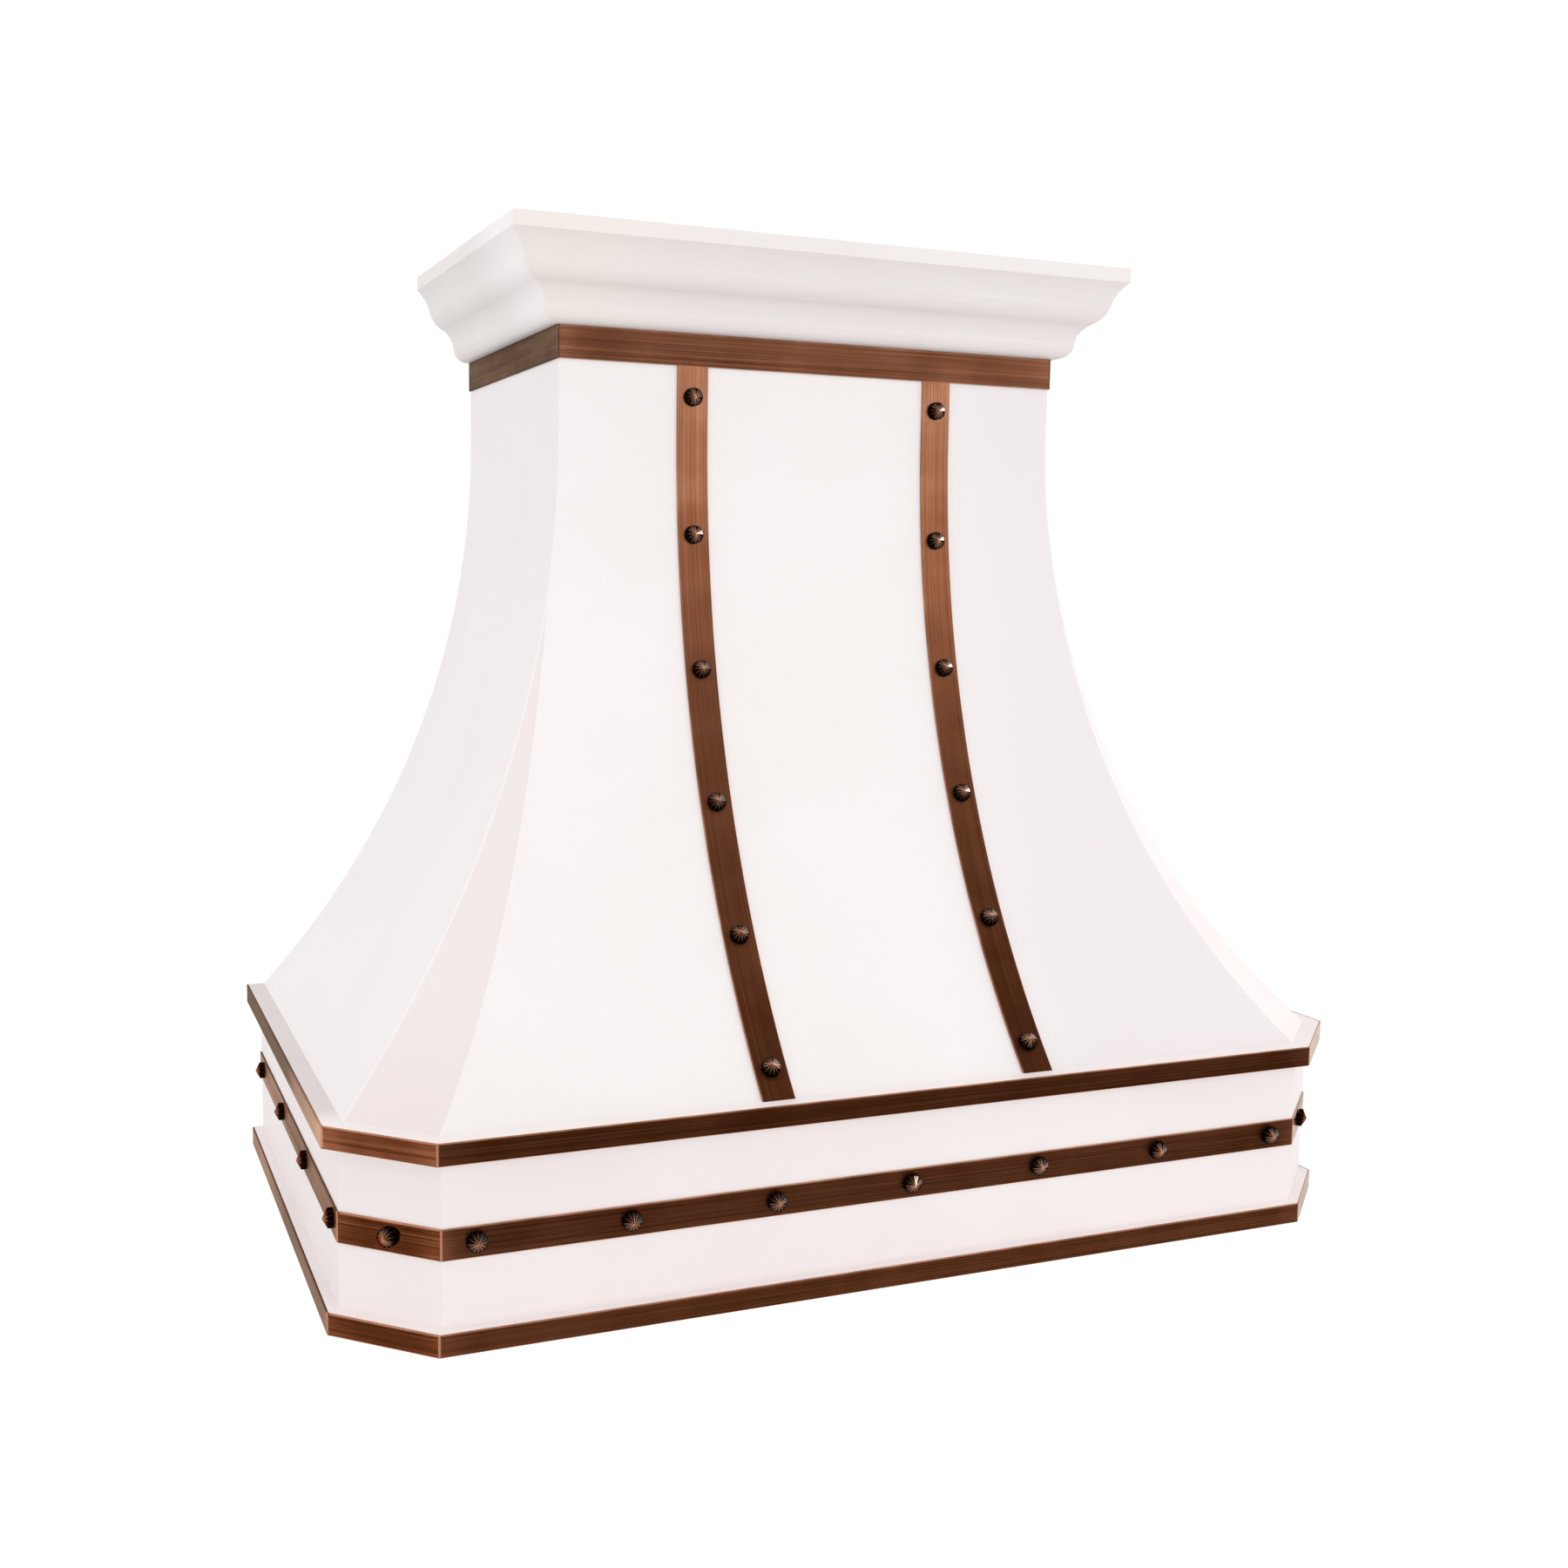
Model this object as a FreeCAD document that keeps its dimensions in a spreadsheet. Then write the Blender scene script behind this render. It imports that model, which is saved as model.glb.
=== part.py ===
"""Curved wall-mounted range hood with a copper-strapped white body, as a parametric assembly.

Frame: millimetres, +Z up, +X to the right seen from the front, the wall is the plane Y = 0 and the
hood stands out towards -Y. The origin is on the wall, at the middle of the hood's lower edge.
"""
import FreeCAD, Part
import math
import os
import re

import Sketcher

Vector = FreeCAD.Vector
Rotation = FreeCAD.Rotation
Placement = FreeCAD.Placement

# Driving dimensions in millimetres: name, value, what it measures
DIMENSIONS = [
    ("skin", 1.5, "painted sheet of the body and apron"),
    ("apron_width", 1037.0, "outside width of the apron walls"),
    ("apron_depth", 619.6, "wall to the front face of the apron"),
    ("apron_corner", 74.0, "side of the 45 degree corner cut, in plan"),
    ("apron_height", 147.8, "apron wall between the two ledges"),
    ("ledge_height", 20.2, "thickness of both ledges"),
    ("ledge_inset", 42.0, "ledge board inside the apron's outer face"),
    ("upper_ledge_reach", 15.0, "upper ledge beyond the apron wall, band included"),
    ("lower_ledge_reach", 11.7, "lower ledge beyond the apron wall, band included"),
    ("band", 1.6, "copper strip on the ledges and apron"),
    ("middle_band_bottom", 80.6, "underside of the apron's middle band"),
    ("middle_band_height", 28.0, "height of the apron's middle band"),
    ("neck_width", 545.0, "outside width of the neck"),
    ("neck_depth", 369.0, "wall to the front face of the neck"),
    ("neck_height", 59.2, "straight neck below its copper band"),
    ("neck_band_height", 31.75, "copper band under the crown"),
    ("neck_band_thick", 2.0, "sheet of the neck band"),
    ("flare_height", 617.9, "curved part of the body"),
    ("flare_inset", 4.0, "foot of the curve inside the apron wall"),
    ("gore_rise", 15.5, "centre of the corner curve above the top of the flare"),
    ("crown_height", 91.3, "height of the crown moulding"),
    ("crown_reach", 60.5, "crown beyond the neck wall"),
    ("crown_fascia", 14.1, "flat fascia at the crown's top"),
    ("crown_cove_reach", 46.0, "foot of the upper cove from the neck wall"),
    ("crown_cove_height", 52.0, "foot of the upper cove above the crown's foot"),
    ("crown_cove_radius", 48.0, "upper cove"),
    ("crown_ovolo_reach", 31.0, "foot of the ovolo from the neck wall"),
    ("crown_ovolo_height", 34.5, "foot of the ovolo above the crown's foot"),
    ("crown_ovolo_radius", 28.0, "ovolo"),
    ("crown_hollow_reach", 19.6, "foot of the lower hollow from the neck wall"),
    ("crown_hollow_height", 16.0, "foot of the lower hollow above the crown's foot"),
    ("crown_hollow_radius", 26.0, "lower hollow"),
    ("crown_bead_reach", 5.0, "foot of the bottom bead from the neck wall"),
    ("crown_bead_radius", 15.0, "bottom bead"),
    ("panel_top_drop", 12.0, "top of the body sheets below the crown's top"),
    ("strap_spacing", 272.0, "between the centres of the two straps"),
    ("strap_width", 31.75, "width of a strap"),
    ("strap_thick", 2.5, "sheet of a strap"),
    ("stud_width", 18.4, "across the corners of a stud head"),
    ("stud_base", 4.2, "straight rim of a stud head"),
    ("stud_point", 4.6, "faceted point of a stud head"),
    ("stud_tip", 0.8, "flat on a stud's tip, across corners"),
    ("stud_shank", 5.0, "diameter of a stud's shank"),
    ("stud_hole_play", 0.1, "radial play of a shank in its hole"),
    ("stud_lift", 0.06, "stud head above the sheet it sits on"),
    ("strap_stud_first", 30.0, "first strap stud below the neck band"),
    ("strap_stud_pitch", 135.7, "strap studs, along the curve"),
    ("front_stud_edge", 29.6, "outer front studs from the corner fold"),
    ("side_stud_back", 30.0, "rear side stud from the wall"),
    ("side_stud_edge", 24.0, "foremost side stud from the corner fold"),
    ("rib_thick", 18.0, "plywood ribs behind the straps"),
    ("rib_depth", 35.0, "depth of the ribs"),
    ("rail_thick", 18.0, "wall rails"),
    ("upper_rail_height", 60.0, "upper wall rail"),
    ("upper_rail_drop", 8.0, "upper wall rail below the neck frame"),
    ("lower_rail_height", 50.0, "lower wall rail"),
    ("lower_rail_lift", 80.0, "lower wall rail above the lower ledge"),
    ("wall_bolt_spacing", 406.4, "between wall bolts, one stud bay"),
    ("wall_bolt_hole", 9.0, "diameter of the wall bolt holes"),
    ("neck_frame_height", 25.0, "batten frame inside the neck"),
    ("neck_frame_width", 24.0, "batten frame inside the neck"),
    ("liner_sheet", 1.2, "stainless sheet of the liner"),
    ("liner_gap", 0.3, "liner skirt to the ledge boards"),
    ("liner_lift", 3.0, "skirt of the liner above the hood's lower edge"),
    ("liner_rise", 48.0, "underside of the liner's plate"),
    ("liner_back", 26.0, "rear skirt of the liner from the wall"),
    ("screw_shank", 4.0, "liner screws"),
    ("screw_head", 8.0, "liner screws"),
    ("screw_head_height", 2.4, "liner screws"),
    ("screw_head_round", 1.1, "rounded rim of the screw heads"),
    ("screw_length", 16.0, "liner screws under the head"),
    ("screw_play", 0.05, "radial play of the screws"),
    ("screw_lift", 11.0, "liner screws above the hood's lower edge"),
    ("screw_spacing", 300.0, "between the two screws of each side"),
    ("filter_height", 21.0, "thickness of a baffle filter"),
    ("filter_rim", 17.0, "rim of a filter's frame"),
    ("filter_sheet", 1.0, "stainless sheet of the filters"),
    ("filter_side_margin", 72.0, "filters from the liner's side skirt"),
    ("filter_front_margin", 98.0, "filters from the liner's front skirt"),
    ("filter_rear_margin", 56.0, "filters from the liner's rear skirt"),
    ("filter_gap", 12.0, "between the two filters"),
    ("filter_drop", 4.0, "filters below the liner's plate"),
    ("filter_lap", 9.0, "liner plate over the filter's edge"),
    ("pivot_inset", 5.0, "filter pivot from the filter's rear edge"),
    ("pivot_pin", 6.0, "diameter of the filter's pivot stubs"),
    ("pivot_play", 0.05, "radial play of the pivot stubs"),
    ("bracket_thick", 2.0, "side brackets of the filter pivots"),
    ("bracket_gap", 0.5, "brackets and filters, side by side"),
    ("bracket_half", 7.0, "half depth of a bracket"),
    ("bracket_below", 6.0, "bracket below the pivot's axis"),
    ("baffle_width", 34.0, "width of one baffle"),
    ("baffle_height", 8.0, "height of one baffle"),
    ("baffle_pitch", 44.0, "between neighbouring baffles"),
    ("handle_width", 92.0, "filter handle"),
    ("handle_drop", 16.0, "filter handle below the filter"),
    ("handle_bar", 5.0, "bar of the filter handle"),
    ("handle_depth", 9.0, "filter handle, front to back"),
    ("lamp_spacing", 560.0, "between the two lamps"),
    ("lamp_bezel", 72.0, "diameter of a lamp's bezel"),
    ("lamp_bezel_thick", 2.0, "bezel under the liner's plate"),
    ("lamp_can", 62.0, "diameter of a lamp's can"),
    ("lamp_can_height", 34.0, "lamp can above the liner's plate"),
    ("lamp_wall", 2.0, "wall of the lamp's can"),
    ("lamp_play", 0.3, "can in the liner's hole"),
    ("lens_thick", 3.0, "lamp lens"),
    ("lens_play", 0.1, "lens in its can"),
    ("control_width", 150.0, "control plate"),
    ("control_depth", 44.0, "control plate"),
    ("control_thick", 2.5, "control plate"),
    ("control_lap", 8.0, "control plate beyond the liner's slot"),
    ("button_width", 18.0, "diameter of a push button"),
    ("button_pitch", 34.0, "between the push buttons"),
    ("button_proud", 3.5, "button below the control plate"),
    ("button_play", 0.3, "button in its hole, and above the plate"),
    ("button_flange", 2.0, "how far the button's collar stands out"),
    ("button_collar", 2.0, "height of the button's collar"),
    ("button_stem", 5.0, "button above its collar"),
    ("switch_height", 34.0, "switch box above the liner"),
    ("switch_wall", 2.0, "wall of the switch box"),
    ("rail_height", 26.0, "channels that carry the blower"),
    ("rail_width", 28.0, "channels that carry the blower"),
    ("rail_sheet", 2.0, "channels that carry the blower"),
    ("rail_bearing", 30.0, "channel ends on the liner's plate"),
    ("blower_width", 190.0, "scroll housing, side to side"),
    ("blower_sheet", 1.2, "sheet of the scroll housing"),
    ("wheel_width", 150.0, "blower wheel"),
    ("wheel_diameter", 200.0, "blower wheel"),
    ("blade_depth", 16.0, "radial depth of the blades"),
    ("blade_thick", 1.2, "blades"),
    ("blade_curve", 19.2, "radius of the blades"),
    ("wheel_ring", 3.0, "end rings of the wheel"),
    ("wheel_ring_lap", 1.5, "end rings inside the blades"),
    ("wheel_disc", 2.0, "centre disc of the wheel"),
    ("hub_diameter", 28.0, "hub of the wheel"),
    ("hub_length", 20.0, "hub of the wheel"),
    ("scroll_gap", 15.0, "wheel to the scroll at its tightest"),
    ("scroll_step", 30.0, "growth of the scroll per quarter turn"),
    ("scroll_cutoff", 18.0, "cut-off lip from the wheel's axis"),
    ("outlet_rise", 150.0, "outlet above the wheel's axis"),
    ("inlet_diameter", 166.0, "inlets in the housing's sides"),
    ("foot_reach", 70.0, "housing feet before and behind the axis"),
    ("foot_flange", 20.0, "flange of the housing feet"),
    ("motor_diameter", 96.0, "blower motor"),
    ("motor_length", 80.0, "blower motor"),
    ("shaft_diameter", 8.0, "motor shaft"),
    ("shaft_play", 0.04, "shaft in its bushes, radial"),
    ("bush_diameter", 16.0, "motor bushes"),
    ("bush_length", 12.0, "motor bushes"),
    ("bracket_plate", 3.0, "motor bracket"),
    ("bracket_arm", 22.0, "width of the motor bracket's arms"),
    ("bracket_lap", 14.0, "motor bracket's arms past the inlet"),
    ("duct_diameter", 177.8, "outside of the duct collar"),
    ("collar_height", 70.0, "duct collar above its plate"),
    ("collar_sheet", 1.2, "duct collar"),
    ("collar_lip", 4.0, "stop lip inside the collar"),
    ("collar_flange", 12.0, "collar plate beyond the outlet"),
    ("damper_rise", 26.0, "damper pin above the collar plate"),
    ("damper_pin", 5.0, "diameter of the damper pin"),
    ("damper_play", 0.05, "flap knuckles on the pin, radial"),
    ("damper_gap", 1.2, "flap edge to the collar"),
    ("damper_sheet", 1.2, "damper flaps"),
    ("knuckle_diameter", 9.0, "knuckles of the flaps"),
    ("knuckle_start", 18.0, "knuckle from the collar's middle"),
    ("knuckle_length", 40.0, "knuckle"),
    ("knuckle_gap", 0.6, "flap to the other flap's knuckle"),
    ("box_width", 100.0, "junction box"),
    ("box_height", 70.0, "junction box"),
    ("box_depth", 60.0, "junction box"),
    ("box_sheet", 1.5, "junction box and its cover"),
    ("box_across", 170.0, "junction box from the middle of the hood"),
    ("box_drop", 40.0, "junction box below the upper wall rail"),
    ("knockout", 22.2, "cable entry in the junction box"),
    ("knockout_inset", 18.0, "cable entry from the box's cover"),
]

# Counts, and the turn in degrees of the upright plane that halves a corner
CORNER_TURN_DEG = 45.0
STUD_SIDES = 12
STRAP_STUDS = 6
FRONT_STUDS = 7
SIDE_STUDS = 4
BLADES = 36
BRACKET_ARMS = 3
LOWER_BAFFLES = 8
BUTTONS = ("fan_button", "low_speed_button", "high_speed_button", "light_button")
NAMES = {name for name, _, _ in DIMENSIONS}

doc = FreeCAD.newDocument("curved_range_hood")
sheet = doc.addObject("Spreadsheet::Sheet", "size")
for row, (name, number, meaning) in enumerate(DIMENSIONS, start=1):
    sheet.set(f"A{row}", meaning)
    sheet.set(f"B{row}", str(number))
    sheet.setAlias(f"B{row}", name)
doc.recompute()

nodes = {}


def bound(text):
    """The expression with each dimension's name tied to its cell."""
    return re.sub(r"[a-z_]+", lambda word: f"size.{word[0]}" if word[0] in NAMES else word[0], text)


def value(text):
    """The expression's number, in millimetres."""
    return float(sheet.evalExpression(bound(text)))


# Heights and curves that several pieces share
LEDGE_TOP = "(2 * ledge_height + apron_height)"
FLARE_TOP = f"({LEDGE_TOP} + flare_height)"
BAND_BOTTOM = f"({FLARE_TOP} + neck_height)"
CROWN_BOTTOM = f"({BAND_BOTTOM} + neck_band_height)"
CROWN_TOP = f"({CROWN_BOTTOM} + crown_height)"
PANEL_TOP = f"({CROWN_TOP} - panel_top_drop)"
FRAME_BOTTOM = f"({CROWN_BOTTOM} - neck_frame_height)"
FRONT_FLARE = "(apron_depth - flare_inset - neck_depth)"
SIDE_FLARE = "(apron_width / 2 - flare_inset - neck_width / 2)"
FRONT_RADIUS = f"((flare_height^2 + {FRONT_FLARE}^2) / (2 * {FRONT_FLARE}))"
SIDE_RADIUS = f"((flare_height^2 + {SIDE_FLARE}^2) / (2 * {SIDE_FLARE}))"
FOOT_CORNER = "(apron_corner - flare_inset * (2 - sqrt(2)))"
GORE_FLARE = f"(({FRONT_FLARE} + {SIDE_FLARE} - {FOOT_CORNER}) / sqrt(2))"
GORE_SPAN = f"(({GORE_FLARE}^2 + flare_height^2 + 2 * flare_height * gore_rise) / (2 * {GORE_FLARE}))"
GORE_RADIUS = f"sqrt({GORE_SPAN}^2 + gore_rise^2)"
GORE_NECK = "((neck_width / 2 + neck_depth) / sqrt(2))"
LINER_TOP = "(liner_rise + liner_sheet)"
LINER_HALF = "(apron_width / 2 - ledge_inset - liner_gap - liner_sheet)"
LINER_FRONT = "(apron_depth - ledge_inset - liner_gap - liner_sheet)"
LINER_REAR = "(liner_back + liner_sheet)"
FILTER_TOP = "(liner_rise - filter_drop)"
FILTER_BOTTOM = f"({FILTER_TOP} - filter_height)"
FILTER_SIDE = f"({LINER_HALF} - filter_side_margin)"
FILTER_FRONT = f"({LINER_FRONT} - filter_front_margin)"
FILTER_REAR = f"({LINER_REAR} + filter_rear_margin)"
PIVOT_Y = f"({FILTER_REAR} + pivot_inset)"
PIVOT_Z = f"({FILTER_BOTTOM} + filter_height / 2)"
STRIP_Y = f"(({LINER_FRONT} + {FILTER_FRONT}) / 2)"
SCROLL = "(wheel_diameter / 2 + scroll_gap)"
SCROLL_REAR = f"({SCROLL} + 3 * scroll_step)"
DUCT_Y = "(neck_depth / 2)"
WHEEL_Y = f"({DUCT_Y} + (scroll_cutoff + {SCROLL_REAR}) / 2)"
RAIL_TOP = f"({LINER_TOP} + rail_height)"
WHEEL_Z = f"({RAIL_TOP} + blower_sheet + {SCROLL} + scroll_step)"
OUTLET_TOP = f"({WHEEL_Z} + outlet_rise)"
COLLAR_FOOT = f"({OUTLET_TOP} + collar_sheet)"
DAMPER_Z = f"({COLLAR_FOOT} + damper_rise)"
UPPER_BOLT_Z = f"({FRAME_BOTTOM} - upper_rail_drop - upper_rail_height / 2)"
LOWER_BOLT_Z = "(ledge_height + lower_rail_lift + lower_rail_height / 2)"
BOX_TOP = f"({UPPER_BOLT_Z} - upper_rail_height / 2 - box_drop)"


def new_body(name):
    return doc.addObject("PartDesign::Body", name)


def keep(label, piece):
    """Hand the finished piece over under its own label."""
    piece.Label = label
    nodes[label] = piece
    return piece


def plane_of(body, role):
    return next(plane for plane in body.Origin.OriginFeatures if plane.Role == role)


def new_sketch(body, role, lift="0", turn=0.0):
    """An empty sketch on one of the body's planes, lifted along its normal and turned about its up axis."""
    sketch = body.newObject("Sketcher::SketchObject", f"{body.Name}_sketch")
    sketch.AttachmentSupport = [(plane_of(body, role), "")]
    sketch.MapMode = "FlatFace"
    sketch.AttachmentOffset = Placement(Vector(0, 0, value(lift)), Rotation(Vector(0, 1, 0), turn))
    sketch.setExpression("AttachmentOffset.Base.z", bound(lift))
    return sketch


def hold(sketch, kind, members, text):
    """A driving constraint whose datum follows an expression."""
    index = sketch.addConstraint(Sketcher.Constraint(kind, *members, value(text)))
    sketch.setExpression(f"Constraints[{index}]", bound(text))


def arc_between(first, last, radius, centre_left):
    """The shorter arc from first to last, with its centre to the left or right of that way."""
    along = last - first
    side = Vector(-along.y, along.x, 0).normalize() * (1 if centre_left else -1)
    reach = math.sqrt(radius**2 - (along.Length / 2) ** 2)
    centre = (first + last) * 0.5 + side * reach
    begin, end = (first, last) if centre_left else (last, first)
    angles = [math.atan2(point.y - centre.y, point.x - centre.x) for point in (begin, end)]
    return Part.ArcOfCircle(Part.Circle(centre, Vector(0, 0, 1), radius), *angles)


def draw(sketch, corners, arcs=None):
    """A closed outline through corners, each held by its two expressions.

    arcs gives, for a corner's number, the radius of the arc that leaves it and whether the arc's
    centre is on the left of the way to the next corner.
    """
    arcs = arcs or {}
    points = [Vector(value(across), value(up), 0) for across, up in corners]
    first_edge = sketch.GeometryCount
    ends = []
    for index, point in enumerate(points):
        following = points[(index + 1) % len(points)]
        if index in arcs:
            radius, centre_left = arcs[index]
            sketch.addGeometry(arc_between(point, following, value(radius), centre_left), False)
            ends.append((1, 2) if centre_left else (2, 1))
        else:
            sketch.addGeometry(Part.LineSegment(point, following), False)
            ends.append((1, 2))
    for index, (across, up) in enumerate(corners):
        edge = first_edge + index
        after = first_edge + (index + 1) % len(corners)
        following = ends[(index + 1) % len(corners)]
        sketch.addConstraint(Sketcher.Constraint("Coincident", edge, ends[index][1], after, following[0]))
        hold(sketch, "DistanceX", (-1, 1, edge, ends[index][0]), across)
        hold(sketch, "DistanceY", (-1, 1, edge, ends[index][0]), up)
    for index, (radius, _) in arcs.items():
        hold(sketch, "Radius", (first_edge + index,), radius)
    return sketch


def draw_circle(sketch, across, up, diameter):
    centre = Vector(value(across), value(up), 0)
    edge = sketch.addGeometry(Part.Circle(centre, Vector(0, 0, 1), value(diameter) / 2), False)
    hold(sketch, "DistanceX", (-1, 1, edge, 3), across)
    hold(sketch, "DistanceY", (-1, 1, edge, 3), up)
    hold(sketch, "Diameter", (edge,), diameter)
    return sketch


def rectangle(left, low, right, high):
    return [(left, low), (right, low), (right, high), (left, high)]


def pad(body, sketch, length, symmetric=False):
    feature = body.newObject("PartDesign::Pad", f"{body.Name}_pad")
    feature.Profile = sketch
    feature.SideType = "Symmetric" if symmetric else "One side"
    feature.setExpression("Length", bound(length))
    return feature


def pocket(body, sketch, length=None):
    """A cut along the sketch's normal for a length, or both ways through everything."""
    feature = body.newObject("PartDesign::Pocket", f"{body.Name}_pocket")
    feature.Profile = sketch
    if length is None:
        feature.SideType = "Symmetric"
        feature.Type = "ThroughAll"
    else:
        feature.Reversed = True
        feature.setExpression("Length", bound(length))
    return feature


def mirrored(label, source):
    """The same piece on the other side of the hood."""
    twin = doc.addObject("Part::Mirroring", label)
    twin.Source = source
    twin.Normal = Vector(1, 0, 0)
    return keep(label, twin)


def cut(label, base, tool):
    piece = doc.addObject("Part::Cut", label)
    piece.Base = base
    piece.Tool = tool
    return keep(label, piece)


def group(label, shapes):
    """Several like solids under one label."""
    piece = doc.addObject("Part::Feature", label)
    piece.Shape = Part.makeCompound(shapes)
    return piece


def together(label, pieces):
    """Several like pieces that stay tied to their own sizes, under one label."""
    compound = doc.addObject("Part::Compound", label)
    compound.Links = pieces
    return keep(label, compound)


def pair(label, source):
    """A piece and its twin on the other side of the hood, under one label."""
    twin = doc.addObject("Part::Mirroring", f"{label}_twin")
    twin.Source = source
    twin.Normal = Vector(1, 0, 0)
    return together(label, [source, twin])


def negative(corners):
    return [(f"-({across})", up) for across, up in corners]


def flipped(arcs):
    return {index: (radius, not left) for index, (radius, left) in arcs.items()}


# Plan outlines of the apron
def plan(offset, back="0"):
    """Corners of the apron's plan, from the wall on the left round to the wall on the right."""
    side = f"(apron_width / 2 + {offset})"
    front = f"(apron_depth + {offset})"
    corner = f"(apron_corner + {offset} * (2 - sqrt(2)))"
    right = [(f"{side} - {corner}", f"-{front}"), (side, f"{corner} - {front}"), (side, f"-{back}")]
    return list(reversed(negative(right))) + right


def ring(label, outer, inner, bottom, height):
    """A five-sided strip or board that follows the apron and is open at the wall."""
    body = new_body(label)
    sketch = draw(new_sketch(body, "XY_Plane", bottom), plan(outer) + list(reversed(plan(inner))))
    pad(body, sketch, height)
    return body


# Curves of the body, all drawn from the foot upwards
def front_curve(out):
    """Foot, top of the flare and top edge of the front sheet's face, moved out by a distance."""
    foot = f"sqrt(({FRONT_RADIUS} - {out})^2 - flare_height^2) - neck_depth - {FRONT_RADIUS}"
    neck = f"-(neck_depth + {out})"
    return [(foot, LEDGE_TOP), (neck, FLARE_TOP), (neck, PANEL_TOP)], f"({FRONT_RADIUS} - {out})"


def side_curve(out):
    """The same for the left side sheet."""
    foot = f"sqrt(({SIDE_RADIUS} - {out})^2 - flare_height^2) - neck_width / 2 - {SIDE_RADIUS}"
    neck = f"-(neck_width / 2 + {out})"
    return [(foot, LEDGE_TOP), (neck, FLARE_TOP), (neck, PANEL_TOP)], f"({SIDE_RADIUS} - {out})"


def gore_curve(out):
    """The same for the left corner, in the upright plane that halves the corner."""
    neck = f"-({GORE_NECK} + {out})"
    foot = f"{neck} - {GORE_FLARE}"
    return [(foot, LEDGE_TOP), (neck, FLARE_TOP), (neck, PANEL_TOP)], GORE_RADIUS


def band_outline(curve, outer, inner):
    """Closed outline of a sheet between two copies of a curve."""
    near, near_radius = curve(outer)
    far, far_radius = curve(inner)
    return near + list(reversed(far)), {0: (near_radius, True), 4: (far_radius, False)}


def outside_outline(curve, out):
    """Closed outline of everything beyond a curve."""
    near, radius = curve(out)
    beyond = "-(apron_width + apron_depth)"
    return near + [(beyond, PANEL_TOP), (beyond, LEDGE_TOP)], {0: (radius, True)}


def trim(body, role, curve, out, turn=0.0, right=False):
    """Cut away what lies beyond a curve, on the left or on the right."""
    corners, arcs = outside_outline(curve, out)
    if right:
        corners, arcs, turn = negative(corners), flipped(arcs), -turn
    pocket(body, draw(new_sketch(body, role, "0", turn), corners, arcs))


# Ledges, apron and their copper strips
def apron():
    keep("lower_ledge_band", ring("lower_ledge_band", "lower_ledge_reach", "(lower_ledge_reach - band)",
                                  "0", "ledge_height"))
    upper_bottom = "ledge_height + apron_height"
    keep("upper_ledge", ring("upper_ledge", "(upper_ledge_reach - band)", "(-ledge_inset)",
                             upper_bottom, "ledge_height"))
    keep("upper_ledge_band", ring("upper_ledge_band", "upper_ledge_reach", "(upper_ledge_reach - band)",
                                  upper_bottom, "ledge_height"))
    wall = ring("apron_wall_blank", "0", "(-skin)", "ledge_height", "apron_height")
    strip = ring("middle_band_blank", "band", "0", "middle_band_bottom", "middle_band_height")
    places = {"front": [], "left": [], "right": []}
    height = value("middle_band_bottom + middle_band_height / 2")
    side = value("apron_width / 2 + band")
    front = value("apron_depth + band")
    fold = value("apron_depth - apron_corner")
    outer_stud = value("apron_width / 2 - apron_corner - front_stud_edge")
    for index in range(FRONT_STUDS):
        across = outer_stud * (2 * index / (FRONT_STUDS - 1) - 1)
        places["front"].append((Vector(across, -front, height), Vector(0, -1, 0)))
    corner_middle = value("apron_corner + band * (2 - sqrt(2))") / 2
    last = fold - value("side_stud_edge")
    first = value("side_stud_back")
    for name, hand in (("left", -1), ("right", 1)):
        for index in range(SIDE_STUDS):
            depth = first + (last - first) * index / (SIDE_STUDS - 1)
            places[name].append((Vector(hand * side, -depth, height), Vector(hand, 0, 0)))
        middle = Vector(hand * (side - corner_middle), corner_middle - front, height)
        places[name].append((middle, Vector(hand, -1, 0).normalize()))
    stud = stud_template("apron_stud", "band + skin")
    for name, spots in places.items():
        keep(f"{name}_apron_studs", group(f"{name}_apron_studs", stud_shapes(stud, spots)))
    holes = group("apron_stud_holes", stud_holes(sum(places.values(), []), value("band + skin")))
    cut("apron_wall", wall, holes)
    cut("middle_band", strip, holes)


def stud_template(name, shank_length):
    """One faceted stud, point up, with its shank below."""
    body = new_body(name)
    base = polygon(new_sketch(body, "XY_Plane", "stud_lift"), "stud_width")
    pad(body, base, "stud_base")
    shoulder = polygon(new_sketch(body, "XY_Plane", "stud_lift + stud_base"), "stud_width")
    tip = polygon(new_sketch(body, "XY_Plane", "stud_lift + stud_base + stud_point"), "stud_tip")
    point = body.newObject("PartDesign::AdditiveLoft", f"{name}_point")
    point.Profile = shoulder
    point.Sections = [tip]
    point.Ruled = True
    shank = draw_circle(new_sketch(body, "XY_Plane", f"-({shank_length})"), "0", "0", "stud_shank")
    pad(body, shank, f"{shank_length} + stud_lift")
    doc.recompute()
    return body


def polygon(sketch, width):
    corners = []
    for index in range(STUD_SIDES):
        turn = 360 * index / STUD_SIDES
        corners.append((f"{width} / 2 * cos({turn})", f"{width} / 2 * sin({turn})"))
    return draw(sketch, corners)


def stud_shapes(stud, places):
    shapes = []
    for point, normal in places:
        shape = stud.Shape.copy()
        shape.Placement = Placement(point, Rotation(Vector(0, 0, 1), normal))
        shapes.append(shape)
    return shapes


def stud_holes(places, depth):
    radius = value("stud_shank / 2 + stud_hole_play")
    over = value("stud_base")
    holes = []
    for point, normal in places:
        holes.append(Part.makeCylinder(radius, depth + 2 * over, point + normal * over, normal * -1))
    return holes


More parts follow.
